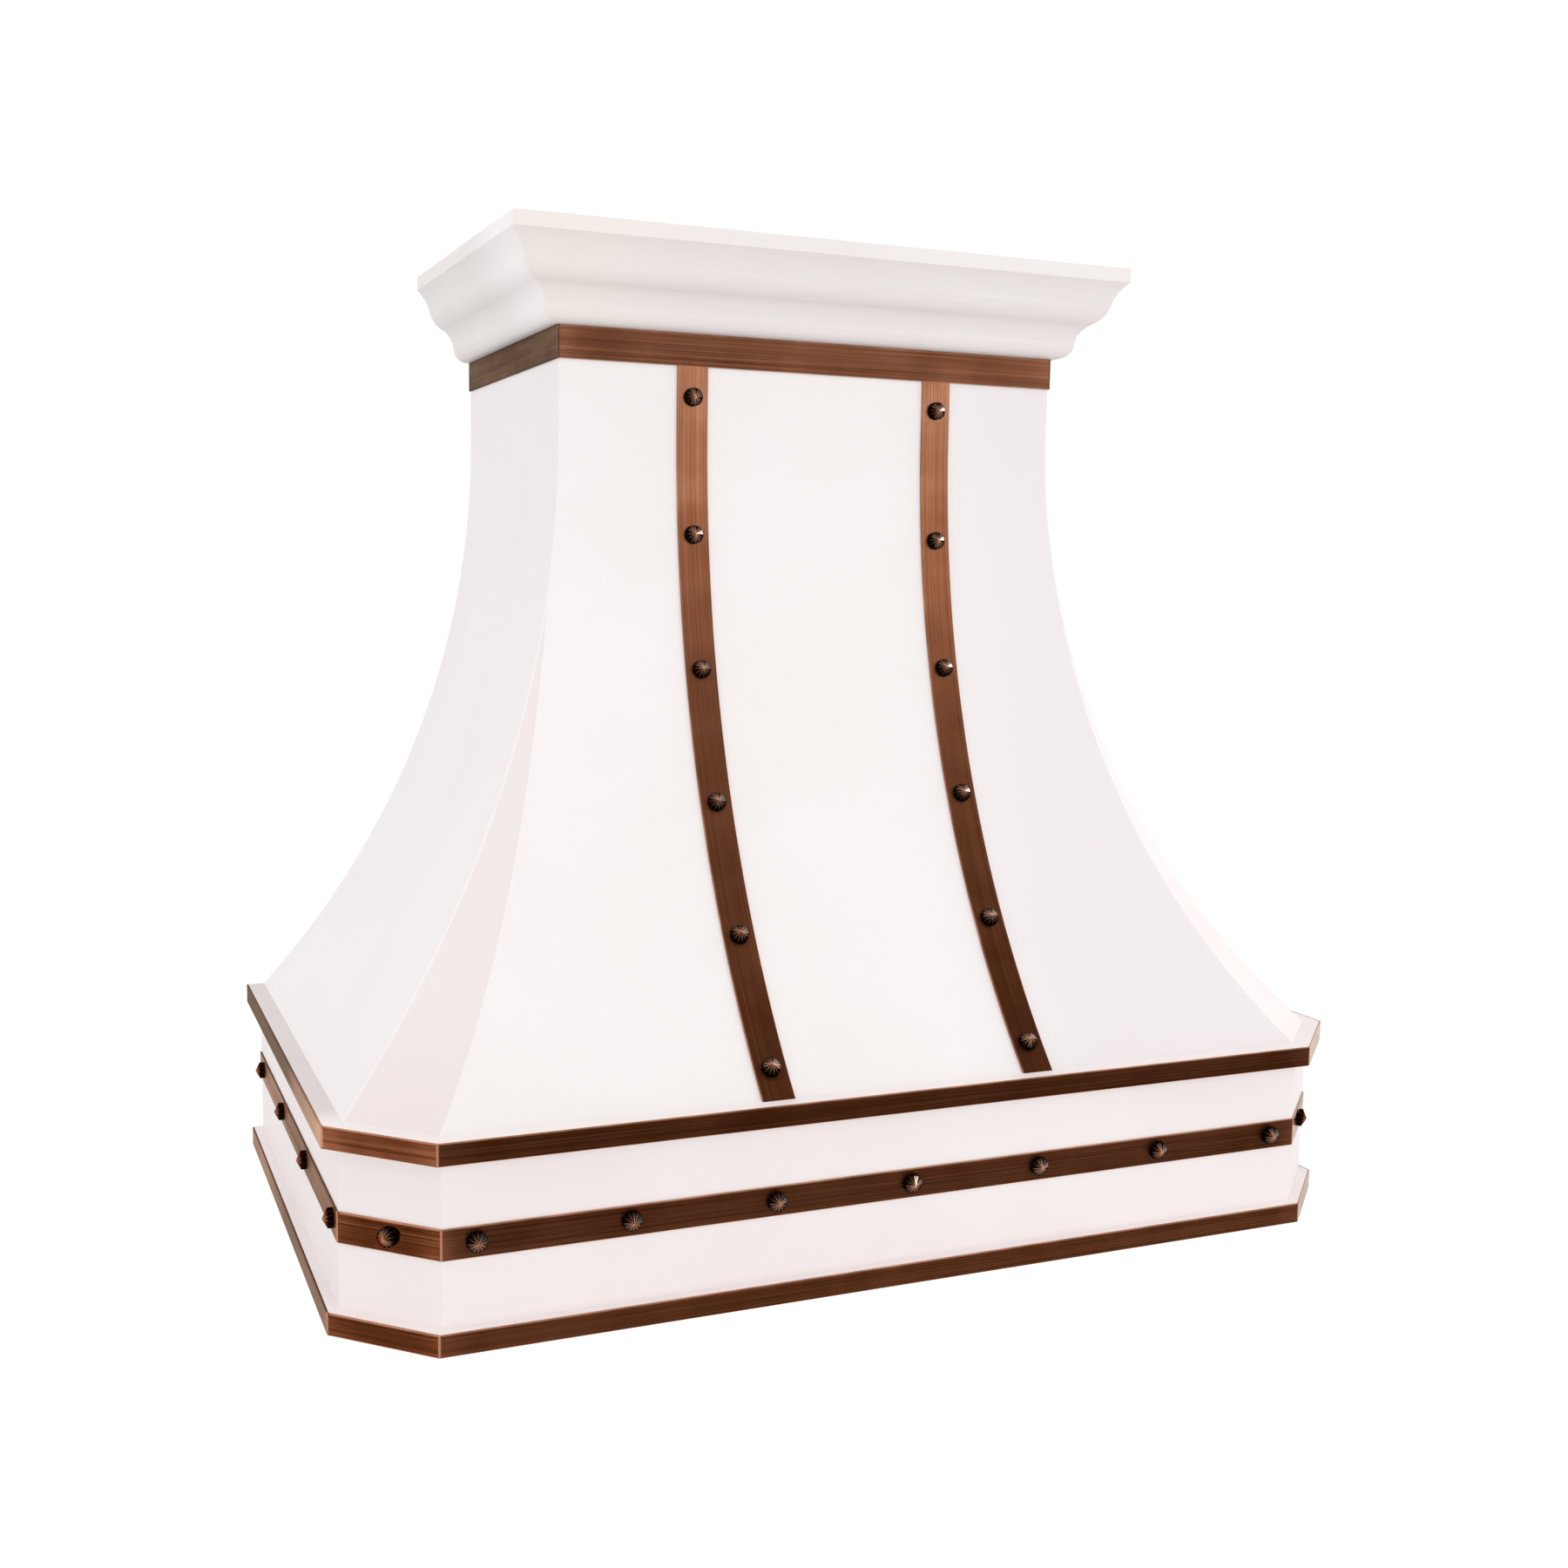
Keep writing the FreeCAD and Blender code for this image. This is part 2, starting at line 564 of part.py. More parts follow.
# Curved body sheets, straps and ribs
def strap_places(across):
    """Stud places on one strap: points on its face and the way out, evenly spaced down the curve."""
    radius = value(f"{FRONT_RADIUS} - strap_thick")
    straight = value("neck_height - strap_stud_first")
    places = []
    for index in range(STRAP_STUDS):
        run = index * value("strap_stud_pitch")
        angle = max(run - straight, 0.0) / radius
        height = value(FLARE_TOP) - radius * math.sin(angle) + max(straight - run, 0.0)
        out = value("neck_depth + strap_thick") + radius * (1 - math.cos(angle))
        places.append((Vector(across, -out, height), Vector(0, -math.cos(angle), math.sin(angle))))
    return places


def body_sheets():
    front = new_body("front_panel_blank")
    pad(front, draw(new_sketch(front, "YZ_Plane"), *band_outline(front_curve, "0", "(-skin)")),
        "apron_width", symmetric=True)
    for right in (False, True):
        trim(front, "XZ_Plane", side_curve, "0", 0.0, right)
        trim(front, "XZ_Plane", gore_curve, "0", CORNER_TURN_DEG, right)

    left = new_body("left_panel")
    pad(left, draw(new_sketch(left, "XZ_Plane"), *band_outline(side_curve, "0", "(-skin)")), "apron_depth")
    trim(left, "YZ_Plane", front_curve, "(-skin)")
    trim(left, "XZ_Plane", gore_curve, "0", CORNER_TURN_DEG)
    mirrored("right_panel", keep("left_panel", left))

    gore = new_body("left_corner_gore")
    upright = new_sketch(gore, "XZ_Plane", "0", CORNER_TURN_DEG)
    pad(gore, draw(upright, *band_outline(gore_curve, "0", "(-skin)")), "apron_width", symmetric=True)
    trim(gore, "YZ_Plane", front_curve, "(-skin)")
    trim(gore, "XZ_Plane", side_curve, "(-skin)")
    mirrored("right_corner_gore", keep("left_corner_gore", gore))

    depth = value("strap_thick + skin")
    stud = stud_template("strap_stud", "strap_thick + skin")
    middle = value("strap_spacing / 2")
    holes = group("front_stud_holes", stud_holes(strap_places(-middle) + strap_places(middle), depth))
    cut("front_panel", front, holes)

    strap = new_body("left_strap_blank")
    corners, arcs = band_outline(front_curve, "strap_thick", "0")
    corners = [(across, BAND_BOTTOM if up == PANEL_TOP else up) for across, up in corners]
    pad(strap, draw(new_sketch(strap, "YZ_Plane", "-strap_spacing / 2"), corners, arcs),
        "strap_width", symmetric=True)
    mirrored("right_strap", cut("left_strap", strap, group("left_stud_holes",
                                                           stud_holes(strap_places(-middle), depth))))
    for name, hand in (("left", -1), ("right", 1)):
        label = f"{name}_strap_studs"
        keep(label, group(label, stud_shapes(stud, strap_places(hand * middle))))

    rib = new_body("left_rib")
    corners, arcs = band_outline(front_curve, "(-skin)", "(-skin - rib_depth)")
    corners = [(across, FRAME_BOTTOM if up == PANEL_TOP else up) for across, up in corners]
    pad(rib, draw(new_sketch(rib, "YZ_Plane", "-strap_spacing / 2"), corners, arcs),
        "rib_thick", symmetric=True)
    pair("front_ribs", rib)


# Crown moulding and neck
def crown_profile(wall):
    """Outline of the moulding, which stands out from a wall at that distance."""
    foot = CROWN_BOTTOM
    members = ("bead_reach", "hollow_reach", "ovolo_reach", "cove_reach", "reach")
    reach = [f"-({wall} + crown_{member})" for member in members]
    corners = [
        (f"-({wall})", foot),
        (f"-({wall})", CROWN_TOP),
        (reach[4], CROWN_TOP),
        (reach[4], f"{CROWN_TOP} - crown_fascia"),
        (reach[3], f"{foot} + crown_cove_height"),
        (reach[2], f"{foot} + crown_ovolo_height"),
        (reach[1], f"{foot} + crown_hollow_height"),
        (reach[0], foot),
    ]
    arcs = {
        3: ("crown_cove_radius", False),
        4: ("crown_ovolo_radius", True),
        5: ("crown_hollow_radius", False),
        6: ("crown_bead_radius", True),
    }
    return corners, arcs


def mitre(body, keep_front, right):
    """Cut the moulding along the 45 degree line through the neck's corner."""
    hand = 1 if right else -1
    far = "(crown_reach + neck_depth)"
    start = (f"{hand} * (neck_width / 2 - {far})", f"-(neck_depth - {far})")
    end = (f"{hand} * (neck_width / 2 + {far})", f"-(neck_depth + {far})")
    if keep_front:
        third = (end[0], start[1])
    else:
        third = (start[0], end[1])
    pocket(body, draw(new_sketch(body, "XY_Plane"), [start, end, third]))


def crown():
    front = new_body("crown_front")
    pad(front, draw(new_sketch(front, "YZ_Plane"), *crown_profile("neck_depth")),
        "neck_width + 2 * crown_reach", symmetric=True)
    mitre(front, True, False)
    mitre(front, True, True)
    keep("crown_front", front)
    left = new_body("crown_left")
    pad(left, draw(new_sketch(left, "XZ_Plane"), *crown_profile("neck_width / 2")),
        "neck_depth + crown_reach")
    mitre(left, False, False)
    mirrored("crown_right", keep("crown_left", left))


def neck_plan(out, back):
    side = f"(neck_width / 2 + {out})"
    front = f"-(neck_depth + {out})"
    return [(f"-{side}", f"-({back})"), (f"-{side}", front), (side, front), (side, f"-({back})")]


def neck():
    band = new_body("neck_band")
    outline = neck_plan("neck_band_thick", "0") + list(reversed(neck_plan("0", "0")))
    pad(band, draw(new_sketch(band, "XY_Plane", BAND_BOTTOM), outline), "neck_band_height")
    keep("neck_band", band)
    frame = new_body("neck_frame")
    sketch = new_sketch(frame, "XY_Plane", FRAME_BOTTOM)
    draw(sketch, neck_plan("(-skin)", "skin"))
    draw(sketch, neck_plan("(-skin - neck_frame_width)", "skin + neck_frame_width"))
    pad(frame, sketch, "neck_frame_height")
    keep("neck_frame", frame)


# Back panel, wall rails and junction box
def back():
    panel = new_body("back_panel")
    curve, radius = side_curve("(-skin)")
    board = "-(apron_width / 2 - ledge_inset)"
    wall = "-(apron_width / 2 - skin)"
    upper_bottom = "(ledge_height + apron_height)"
    left = [(board, "0"), (board, "ledge_height"), (wall, "ledge_height"), (wall, upper_bottom),
            (board, upper_bottom), (board, LEDGE_TOP)] + curve
    corners = left + list(reversed(negative(left)))
    arcs = {6: (radius, True), 10: (radius, True)}
    pad(panel, draw(new_sketch(panel, "XZ_Plane"), corners, arcs), "skin")
    bolt_holes(panel, (UPPER_BOLT_Z, LOWER_BOLT_Z))
    keep("back_panel", panel)
    for name, height, middle, half in (
        ("upper_wall_rail", "upper_rail_height", UPPER_BOLT_Z, "(neck_width / 2 - skin)"),
        ("lower_wall_rail", "lower_rail_height", LOWER_BOLT_Z, "(apron_width / 2 - skin)"),
    ):
        rail = new_body(name)
        outline = rectangle(f"-{half}", f"{middle} - {height} / 2", half, f"{middle} + {height} / 2")
        pad(rail, draw(new_sketch(rail, "XZ_Plane", "skin"), outline), "rail_thick")
        bolt_holes(rail, (middle,))
        keep(name, rail)

    box = new_body("junction_box")
    left_x = "(box_across - box_width / 2)"
    right_x = "(box_across + box_width / 2)"
    outer = rectangle(left_x, f"{BOX_TOP} - box_height", right_x, BOX_TOP)
    inner = rectangle(f"{left_x} + box_sheet", f"{BOX_TOP} - box_height + box_sheet",
                      f"{right_x} - box_sheet", f"{BOX_TOP} - box_sheet")
    pad(box, draw(new_sketch(box, "XZ_Plane", "skin"), outer), "box_depth")
    pocket(box, draw(new_sketch(box, "XZ_Plane", "skin + box_sheet"), inner), "box_depth")
    entry = new_sketch(box, "XY_Plane", f"{BOX_TOP} - 2 * box_sheet")
    draw_circle(entry, "box_across", "knockout_inset - skin - box_depth", "knockout")
    pocket(box, entry, "3 * box_sheet")
    keep("junction_box", box)
    cover = new_body("junction_box_cover")
    pad(cover, draw(new_sketch(cover, "XZ_Plane", "skin + box_depth"), outer), "box_sheet")
    keep("junction_box_cover", cover)


def bolt_holes(body, heights):
    sketch = new_sketch(body, "XZ_Plane")
    for height in heights:
        for hand in (-1, 1):
            draw_circle(sketch, f"{hand} * wall_bolt_spacing / 2", height, "wall_bolt_hole")
    pocket(body, sketch)


# Liner with its screws, lower ledge, lamps and controls
def liner():
    body = new_body("liner")
    outside = "(-ledge_inset - liner_gap)"
    inside = "(-ledge_inset - liner_gap - liner_sheet)"
    pad(body, draw(new_sketch(body, "XY_Plane", "liner_lift"), plan(outside, "liner_back")),
        f"{LINER_TOP} - liner_lift")
    pocket(body, draw(new_sketch(body, "XY_Plane", "liner_lift"), plan(inside, LINER_REAR)),
           "liner_rise - liner_lift")
    openings = new_sketch(body, "XY_Plane", "liner_rise")
    for hand in (-1, 1):
        draw(openings, rectangle(f"{hand} * (filter_gap / 2 + filter_lap)", f"filter_lap - {FILTER_FRONT}",
                                 f"{hand} * ({FILTER_SIDE} - filter_lap)", f"-(filter_lap + {FILTER_REAR})"))
        draw_circle(openings, f"{hand} * lamp_spacing / 2", f"-{STRIP_Y}", "lamp_can + 2 * lamp_play")
    draw(openings, slot("control_lap"))
    pocket(body, openings, "liner_sheet")

    places = []
    lift = value("screw_lift")
    half = value(LINER_HALF)
    middle = value(f"({LINER_REAR} + {LINER_FRONT} - {FOOT_CORNER}) / 2")
    spread = value("screw_spacing / 2")
    for hand in (-1, 1):
        for depth in (middle - spread, middle + spread):
            places.append((Vector(hand * half, -depth, lift), Vector(hand, 0, 0)))
        places.append((Vector(hand * spread, -value(LINER_FRONT), lift), Vector(0, -1, 0)))
    holes = group("liner_screw_holes", screw_shapes(places, value("screw_play")))
    screws = group("liner_screws", screw_shapes(places, 0.0))
    keep("liner_screws", screws)
    cut("liner", body, holes)
    ledge = ring("lower_ledge_blank", "(lower_ledge_reach - band)", "(-ledge_inset)", "0", "ledge_height")
    cut("lower_ledge", ledge, holes)


def slot(margin):
    """Plan of the control plate, drawn in by a margin."""
    half = f"(control_width / 2 - {margin})"
    deep = f"(control_depth / 2 - {margin})"
    return rectangle(f"-{half}", f"-({STRIP_Y} + {deep})", half, f"{deep} - {STRIP_Y}")


def screw_shapes(places, play):
    """Pan-head screws, or the room that they need with some play, head inside the liner."""
    shapes = []
    for point, way in places:
        shank = Part.makeCylinder(value("screw_shank / 2") + play, value("screw_length") + play, point, way)
        if play:
            shapes.append(shank)
            continue
        head = Part.makeCylinder(value("screw_head / 2"), value("screw_head_height"), point, way * -1)
        rim = max(head.Edges, key=lambda edge: (edge.CenterOfMass - point).dot(way * -1))
        shapes.append(shank.fuse(head.makeFillet(value("screw_head_round"), [rim])))
    return shapes


def lamps():
    can = new_body("lamp_can_blank")
    across = "-lamp_spacing / 2"
    away = f"-{STRIP_Y}"
    pad(can, draw_circle(new_sketch(can, "XY_Plane", "liner_rise - lamp_bezel_thick"), across, away,
                         "lamp_bezel"), "lamp_bezel_thick")
    pad(can, draw_circle(new_sketch(can, "XY_Plane", "liner_rise"), across, away, "lamp_can"),
        "liner_sheet + lamp_can_height")
    bore = "(lamp_can - 2 * lamp_wall)"
    hollow = new_sketch(can, "XY_Plane", "liner_rise - lamp_bezel_thick")
    pocket(can, draw_circle(hollow, across, away, bore),
           "lamp_bezel_thick + liner_sheet + lamp_can_height - lamp_wall")
    pair("lamps", can)
    lens = new_body("lens_blank")
    pad(lens, draw_circle(new_sketch(lens, "XY_Plane", "liner_rise - lamp_bezel_thick"), across, away,
                          f"{bore} - 2 * lens_play"), "lens_thick")
    pair("lamp_lenses", lens)


def controls():
    plate = new_body("control_plate")
    sketch = draw(new_sketch(plate, "XY_Plane", "liner_rise - control_thick"), slot("0"))
    spots = [f"({index - (len(BUTTONS) - 1) / 2} * button_pitch)" for index in range(len(BUTTONS))]
    for spot in spots:
        draw_circle(sketch, spot, f"-{STRIP_Y}", "button_width + 2 * button_play")
    pad(plate, sketch, "control_thick")
    keep("control_plate", plate)

    box = new_body("switch_box")
    pad(box, draw(new_sketch(box, "XY_Plane", LINER_TOP), slot("0")), "switch_height")
    pocket(box, draw(new_sketch(box, "XY_Plane", LINER_TOP), slot("switch_wall")),
           "switch_height - switch_wall")
    keep("switch_box", box)

    for label, spot in zip(BUTTONS, spots):
        button = new_body(label)
        low = "(liner_rise - control_thick - button_proud)"
        pad(button, draw_circle(new_sketch(button, "XY_Plane", low), spot, f"-{STRIP_Y}", "button_width"),
            "button_proud + control_thick + button_play")
        pad(button, draw_circle(new_sketch(button, "XY_Plane", "liner_rise + button_play"), spot,
                                f"-{STRIP_Y}", "button_width + 2 * button_flange"), "button_collar")
        pad(button, draw_circle(new_sketch(button, "XY_Plane", "liner_rise + button_play + button_collar"),
                                spot, f"-{STRIP_Y}", "button_width / 2"), "button_stem")
        keep(label, button)


# Baffle filters and the brackets that they pivot in
def filters():
    frame = new_body("left_filter")
    inner = "(filter_gap / 2)"
    outline = rectangle(f"-{FILTER_SIDE}", f"-{FILTER_FRONT}", f"-{inner}", f"-{FILTER_REAR}")

    def inset(by):
        return rectangle(f"{by} - {FILTER_SIDE}", f"{by} - {FILTER_FRONT}",
                         f"-({inner} + {by})", f"-({FILTER_REAR} + {by})")

    pad(frame, draw(new_sketch(frame, "XY_Plane", FILTER_BOTTOM), outline), "filter_height")
    pocket(frame, draw(new_sketch(frame, "XY_Plane", FILTER_BOTTOM), inset("filter_rim")), "filter_height")
    hollow = new_sketch(frame, "XY_Plane", f"{FILTER_BOTTOM} + filter_sheet")
    pocket(frame, draw(hollow, inset("filter_sheet")), "filter_height - 2 * filter_sheet")
    stub = "(bracket_gap + bracket_thick)"
    for start in (f"-({FILTER_SIDE} + {stub})", f"-({inner})"):
        sketch = draw_circle(new_sketch(frame, "YZ_Plane", start), f"-{PIVOT_Y}", PIVOT_Z, "pivot_pin")
        length = f"{stub} + filter_sheet" if start != f"-({inner})" else f"{inner} - bracket_gap / 2"
        pad(frame, sketch, length)
    mirrored("right_filter", keep("left_filter", frame))

    template = new_body("lower_baffle")
    channel(template, f"{FILTER_BOTTOM} + filter_sheet", True)
    upper = new_body("upper_baffle")
    channel(upper, f"{FILTER_TOP} - filter_sheet - baffle_height", False)
    doc.recompute()
    shapes = []
    middle = (value(FILTER_SIDE) + value(inner)) / -2
    for source, count in ((template, LOWER_BAFFLES), (upper, LOWER_BAFFLES - 1)):
        for index in range(count):
            shape = source.Shape.copy()
            across = middle + (index - (count - 1) / 2) * value("baffle_pitch")
            shape.Placement = Placement(Vector(across, 0, 0), Rotation())
            shapes.append(shape)
    mirrored("right_filter_baffles", keep("left_filter_baffles", group("left_filter_baffles", shapes)))

    handle = new_body("left_filter_handle")
    centre = f"(-({FILTER_SIDE} + {inner}) / 2)"
    low = f"({FILTER_BOTTOM} - handle_drop)"
    outline = [
        (f"{centre} - handle_width / 2", FILTER_BOTTOM),
        (f"{centre} - handle_width / 2", low),
        (f"{centre} + handle_width / 2", low),
        (f"{centre} + handle_width / 2", FILTER_BOTTOM),
        (f"{centre} + handle_width / 2 - handle_bar", FILTER_BOTTOM),
        (f"{centre} + handle_width / 2 - handle_bar", f"{low} + handle_bar"),
        (f"{centre} - handle_width / 2 + handle_bar", f"{low} + handle_bar"),
        (f"{centre} - handle_width / 2 + handle_bar", FILTER_BOTTOM),
    ]
    start = f"{FILTER_FRONT} - (filter_rim + handle_depth) / 2"
    pad(handle, draw(new_sketch(handle, "XZ_Plane", start), outline), "handle_depth")
    mirrored("right_filter_handle", keep("left_filter_handle", handle))

    brackets = []
    for name, near, thick in (
        ("left_bracket", f"-({FILTER_SIDE} + bracket_gap + bracket_thick)", "bracket_thick"),
        ("middle_bracket", "bracket_gap - filter_gap / 2", "filter_gap - 2 * bracket_gap"),
        ("right_bracket", f"{FILTER_SIDE} + bracket_gap", "bracket_thick"),
    ):
        bracket = new_body(name)
        outline = rectangle(f"-({PIVOT_Y} + bracket_half)", f"{PIVOT_Z} - bracket_below",
                            f"bracket_half - {PIVOT_Y}", "liner_rise")
        sketch = draw(new_sketch(bracket, "YZ_Plane", near), outline)
        draw_circle(sketch, f"-{PIVOT_Y}", PIVOT_Z, "pivot_pin + 2 * pivot_play")
        pad(bracket, sketch, thick)
        brackets.append(bracket)
    together("filter_brackets", brackets)


def channel(body, bottom, open_above):
    """One baffle at the middle of the hood: a shallow channel that runs front to back."""
    half = "baffle_width / 2"
    web, rim = (bottom, f"{bottom} + baffle_height")
    inner = f"{bottom} + filter_sheet"
    if not open_above:
        web, rim = rim, web
        inner = f"{bottom} + baffle_height - filter_sheet"
    outline = [
        (f"-{half}", web), (half, web), (half, rim), (f"{half} - filter_sheet", rim),
        (f"{half} - filter_sheet", inner), (f"-({half} - filter_sheet)", inner),
        (f"-({half} - filter_sheet)", rim), (f"-{half}", rim),
    ]
    start = f"{FILTER_REAR} + filter_sheet"
    length = f"{FILTER_FRONT} - {FILTER_REAR} - 2 * filter_sheet"
    pad(body, draw(new_sketch(body, "XZ_Plane", start), outline), length)


# Blower with its wheel and motor
def scroll_outline(inset, top):
    """Side view of the scroll: three quarter arcs that grow round the wheel, then a straight outlet."""
    middle_y = f"-{WHEEL_Y}"
    radius = f"({SCROLL} - {inset})"
    lip = f"scroll_cutoff + {inset} - {WHEEL_Y}"
    rear = f"{SCROLL_REAR} - {inset} - {WHEEL_Y}"
    corners = [
        (middle_y, f"{WHEEL_Z} + {radius}"),
        (f"{middle_y} - {radius}", WHEEL_Z),
        (f"{middle_y} + scroll_step", f"{WHEEL_Z} - {radius} - scroll_step"),
        (rear, f"{WHEEL_Z} + scroll_step"),
        (rear, top),
        (lip, top),
        (lip, f"{WHEEL_Z} + {radius}"),
    ]
    arcs = {index: (f"{radius} + {index} * scroll_step", True) for index in range(3)}
    return corners, arcs


def blower():
    scroll = new_body("blower_scroll")
    pad(scroll, draw(new_sketch(scroll, "YZ_Plane"), *scroll_outline("0", OUTLET_TOP)),
        "blower_width - 2 * blower_sheet", symmetric=True)
    inside = scroll_outline("blower_sheet", f"{OUTLET_TOP} + blower_sheet")
    pocket(scroll, draw(new_sketch(scroll, "YZ_Plane"), *inside))
    keep("blower_scroll", scroll)

    side = new_body("blower_left_side")
    face = "-(blower_width / 2)"
    pad(side, draw(new_sketch(side, "YZ_Plane", face), *scroll_outline("0", OUTLET_TOP)), "blower_sheet")
    foot = rectangle(f"-({WHEEL_Y} + foot_reach)", RAIL_TOP, f"foot_reach - {WHEEL_Y}", WHEEL_Z)
    pad(side, draw(new_sketch(side, "YZ_Plane", face), foot), "blower_sheet")
    flange = rectangle(f"-({WHEEL_Y} + foot_reach)", RAIL_TOP, f"foot_reach - {WHEEL_Y}",
                       f"{RAIL_TOP} + blower_sheet")
    pad(side, draw(new_sketch(side, "YZ_Plane", face), flange), "foot_flange")
    inlet = draw_circle(new_sketch(side, "YZ_Plane"), f"-{WHEEL_Y}", WHEEL_Z, "inlet_diameter")
    pocket(side, inlet)
    mirrored("blower_right_side", keep("blower_left_side", side))

    wheel = new_body("blower_wheel")
    wheel.Placement = Placement(Vector(0, -value(WHEEL_Y), value(WHEEL_Z)), Rotation())
    wheel.setExpression("Placement.Base.y", bound(f"-{WHEEL_Y}"))
    wheel.setExpression("Placement.Base.z", bound(WHEEL_Z))

    def disc(start, diameter, length, hole=None):
        sketch = draw_circle(new_sketch(wheel, "YZ_Plane", start), "0", "0", diameter)
        if hole:
            draw_circle(sketch, "0", "0", hole)
        pad(wheel, sketch, length)

    disc("-wheel_disc / 2", "wheel_diameter", "wheel_disc")
    disc("wheel_disc / 2 - hub_length", "hub_diameter", "hub_length")
    inner = "(wheel_diameter / 2 - blade_depth)"
    outer = "(wheel_diameter / 2 - blade_thick)"
    outline = [
        (inner, "-blade_thick / 2"),
        (outer, "(blade_depth - blade_thick) / 2"),
        (outer, "(blade_depth + blade_thick) / 2"),
        (inner, "blade_thick / 2"),
    ]
    arcs = {0: ("blade_curve", True), 2: ("blade_curve", False)}
    blade = pad(wheel, draw(new_sketch(wheel, "YZ_Plane"), outline, arcs), "wheel_width - wheel_ring",
                symmetric=True)
    doc.recompute()
    blades = wheel.newObject("PartDesign::PolarPattern", "blower_blades")
    blades.Originals = [blade]
    blades.Axis = (next(axis for axis in wheel.Origin.OriginFeatures if axis.Role == "X_Axis"), [""])
    blades.Angle = 360
    blades.Occurrences = BLADES
    wheel.Tip = blades
    rim = "wheel_diameter - 2 * (blade_depth + wheel_ring_lap)"
    disc("-wheel_width / 2", "wheel_diameter", "wheel_ring", rim)
    disc("wheel_width / 2 - wheel_ring", "wheel_diameter", "wheel_ring", rim)
    pocket(wheel, draw_circle(new_sketch(wheel, "YZ_Plane"), "0", "0", "shaft_diameter"))
    keep("blower_wheel", wheel)


def motor():
    right = "(blower_width / 2)"
    left = f"({right} - motor_length)"
    case = new_body("blower_motor")
    sketch = draw_circle(new_sketch(case, "YZ_Plane", left), f"-{WHEEL_Y}", WHEEL_Z, "motor_diameter")
    draw_circle(sketch, f"-{WHEEL_Y}", WHEEL_Z, "bush_diameter")
    pad(case, sketch, "motor_length")
    keep("blower_motor", case)

    bushes = []
    for name, start in (("inner_bush", left), ("outer_bush", f"{right} - bush_length")):
        bush = new_body(name)
        sketch = draw_circle(new_sketch(bush, "YZ_Plane", start), f"-{WHEEL_Y}", WHEEL_Z, "bush_diameter")
        draw_circle(sketch, f"-{WHEEL_Y}", WHEEL_Z, "shaft_diameter + 2 * shaft_play")
        pad(bush, sketch, "bush_length")
        bushes.append(bush)
    together("motor_bushes", bushes)

    shaft = new_body("motor_shaft")
    start = "wheel_disc / 2 - hub_length"
    sketch = draw_circle(new_sketch(shaft, "YZ_Plane", start), f"-{WHEEL_Y}", WHEEL_Z, "shaft_diameter")
    pad(shaft, sketch, f"{right} - bracket_plate - ({start})")
    keep("motor_shaft", shaft)

    bracket = new_body("motor_bracket")
    sketch = draw_circle(new_sketch(bracket, "YZ_Plane", right), f"-{WHEEL_Y}", WHEEL_Z, "motor_diameter")
    pad(bracket, sketch, "bracket_plate")
    reach = "(inlet_diameter / 2 + bracket_lap)"
    for index in range(BRACKET_ARMS):
        turn = 90 + 360 * index / BRACKET_ARMS
        along = (f"cos({turn})", f"sin({turn})")
        corners = []
        for out, side in (("0", -0.5), (reach, -0.5), (reach, 0.5), ("0", 0.5)):
            across = f"{out} * {along[0]} - {side} * bracket_arm * {along[1]} - {WHEEL_Y}"
            corners.append((across, f"{out} * {along[1]} + {side} * bracket_arm * {along[0]} + {WHEEL_Z}"))
        pad(bracket, draw(new_sketch(bracket, "YZ_Plane", right), corners), "bracket_plate")
    keep("motor_bracket", bracket)

    rails = []
    outer = "blower_width / 2"
    for hand in (-1, 1):
        rail = new_body("left_rail" if hand < 0 else "right_rail")
        outline = [
            (f"{hand} * ({outer})", LINER_TOP),
            (f"{hand} * ({outer})", RAIL_TOP),
            (f"{hand} * ({outer} - rail_width)", RAIL_TOP),
            (f"{hand} * ({outer} - rail_width)", f"{RAIL_TOP} - rail_sheet"),
            (f"{hand} * ({outer} - rail_sheet)", f"{RAIL_TOP} - rail_sheet"),
            (f"{hand} * ({outer} - rail_sheet)", f"{LINER_TOP} + rail_sheet"),
            (f"{hand} * ({outer} - rail_width)", f"{LINER_TOP} + rail_sheet"),
            (f"{hand} * ({outer} - rail_width)", LINER_TOP),
        ]
        start = f"({FILTER_REAR} + filter_lap - rail_bearing)"
        length = f"{FILTER_FRONT} - filter_lap + rail_bearing - {start}"
        pad(rail, draw(new_sketch(rail, "XZ_Plane", start), outline), length)
        rails.append(rail)
    together("blower_rails", rails)


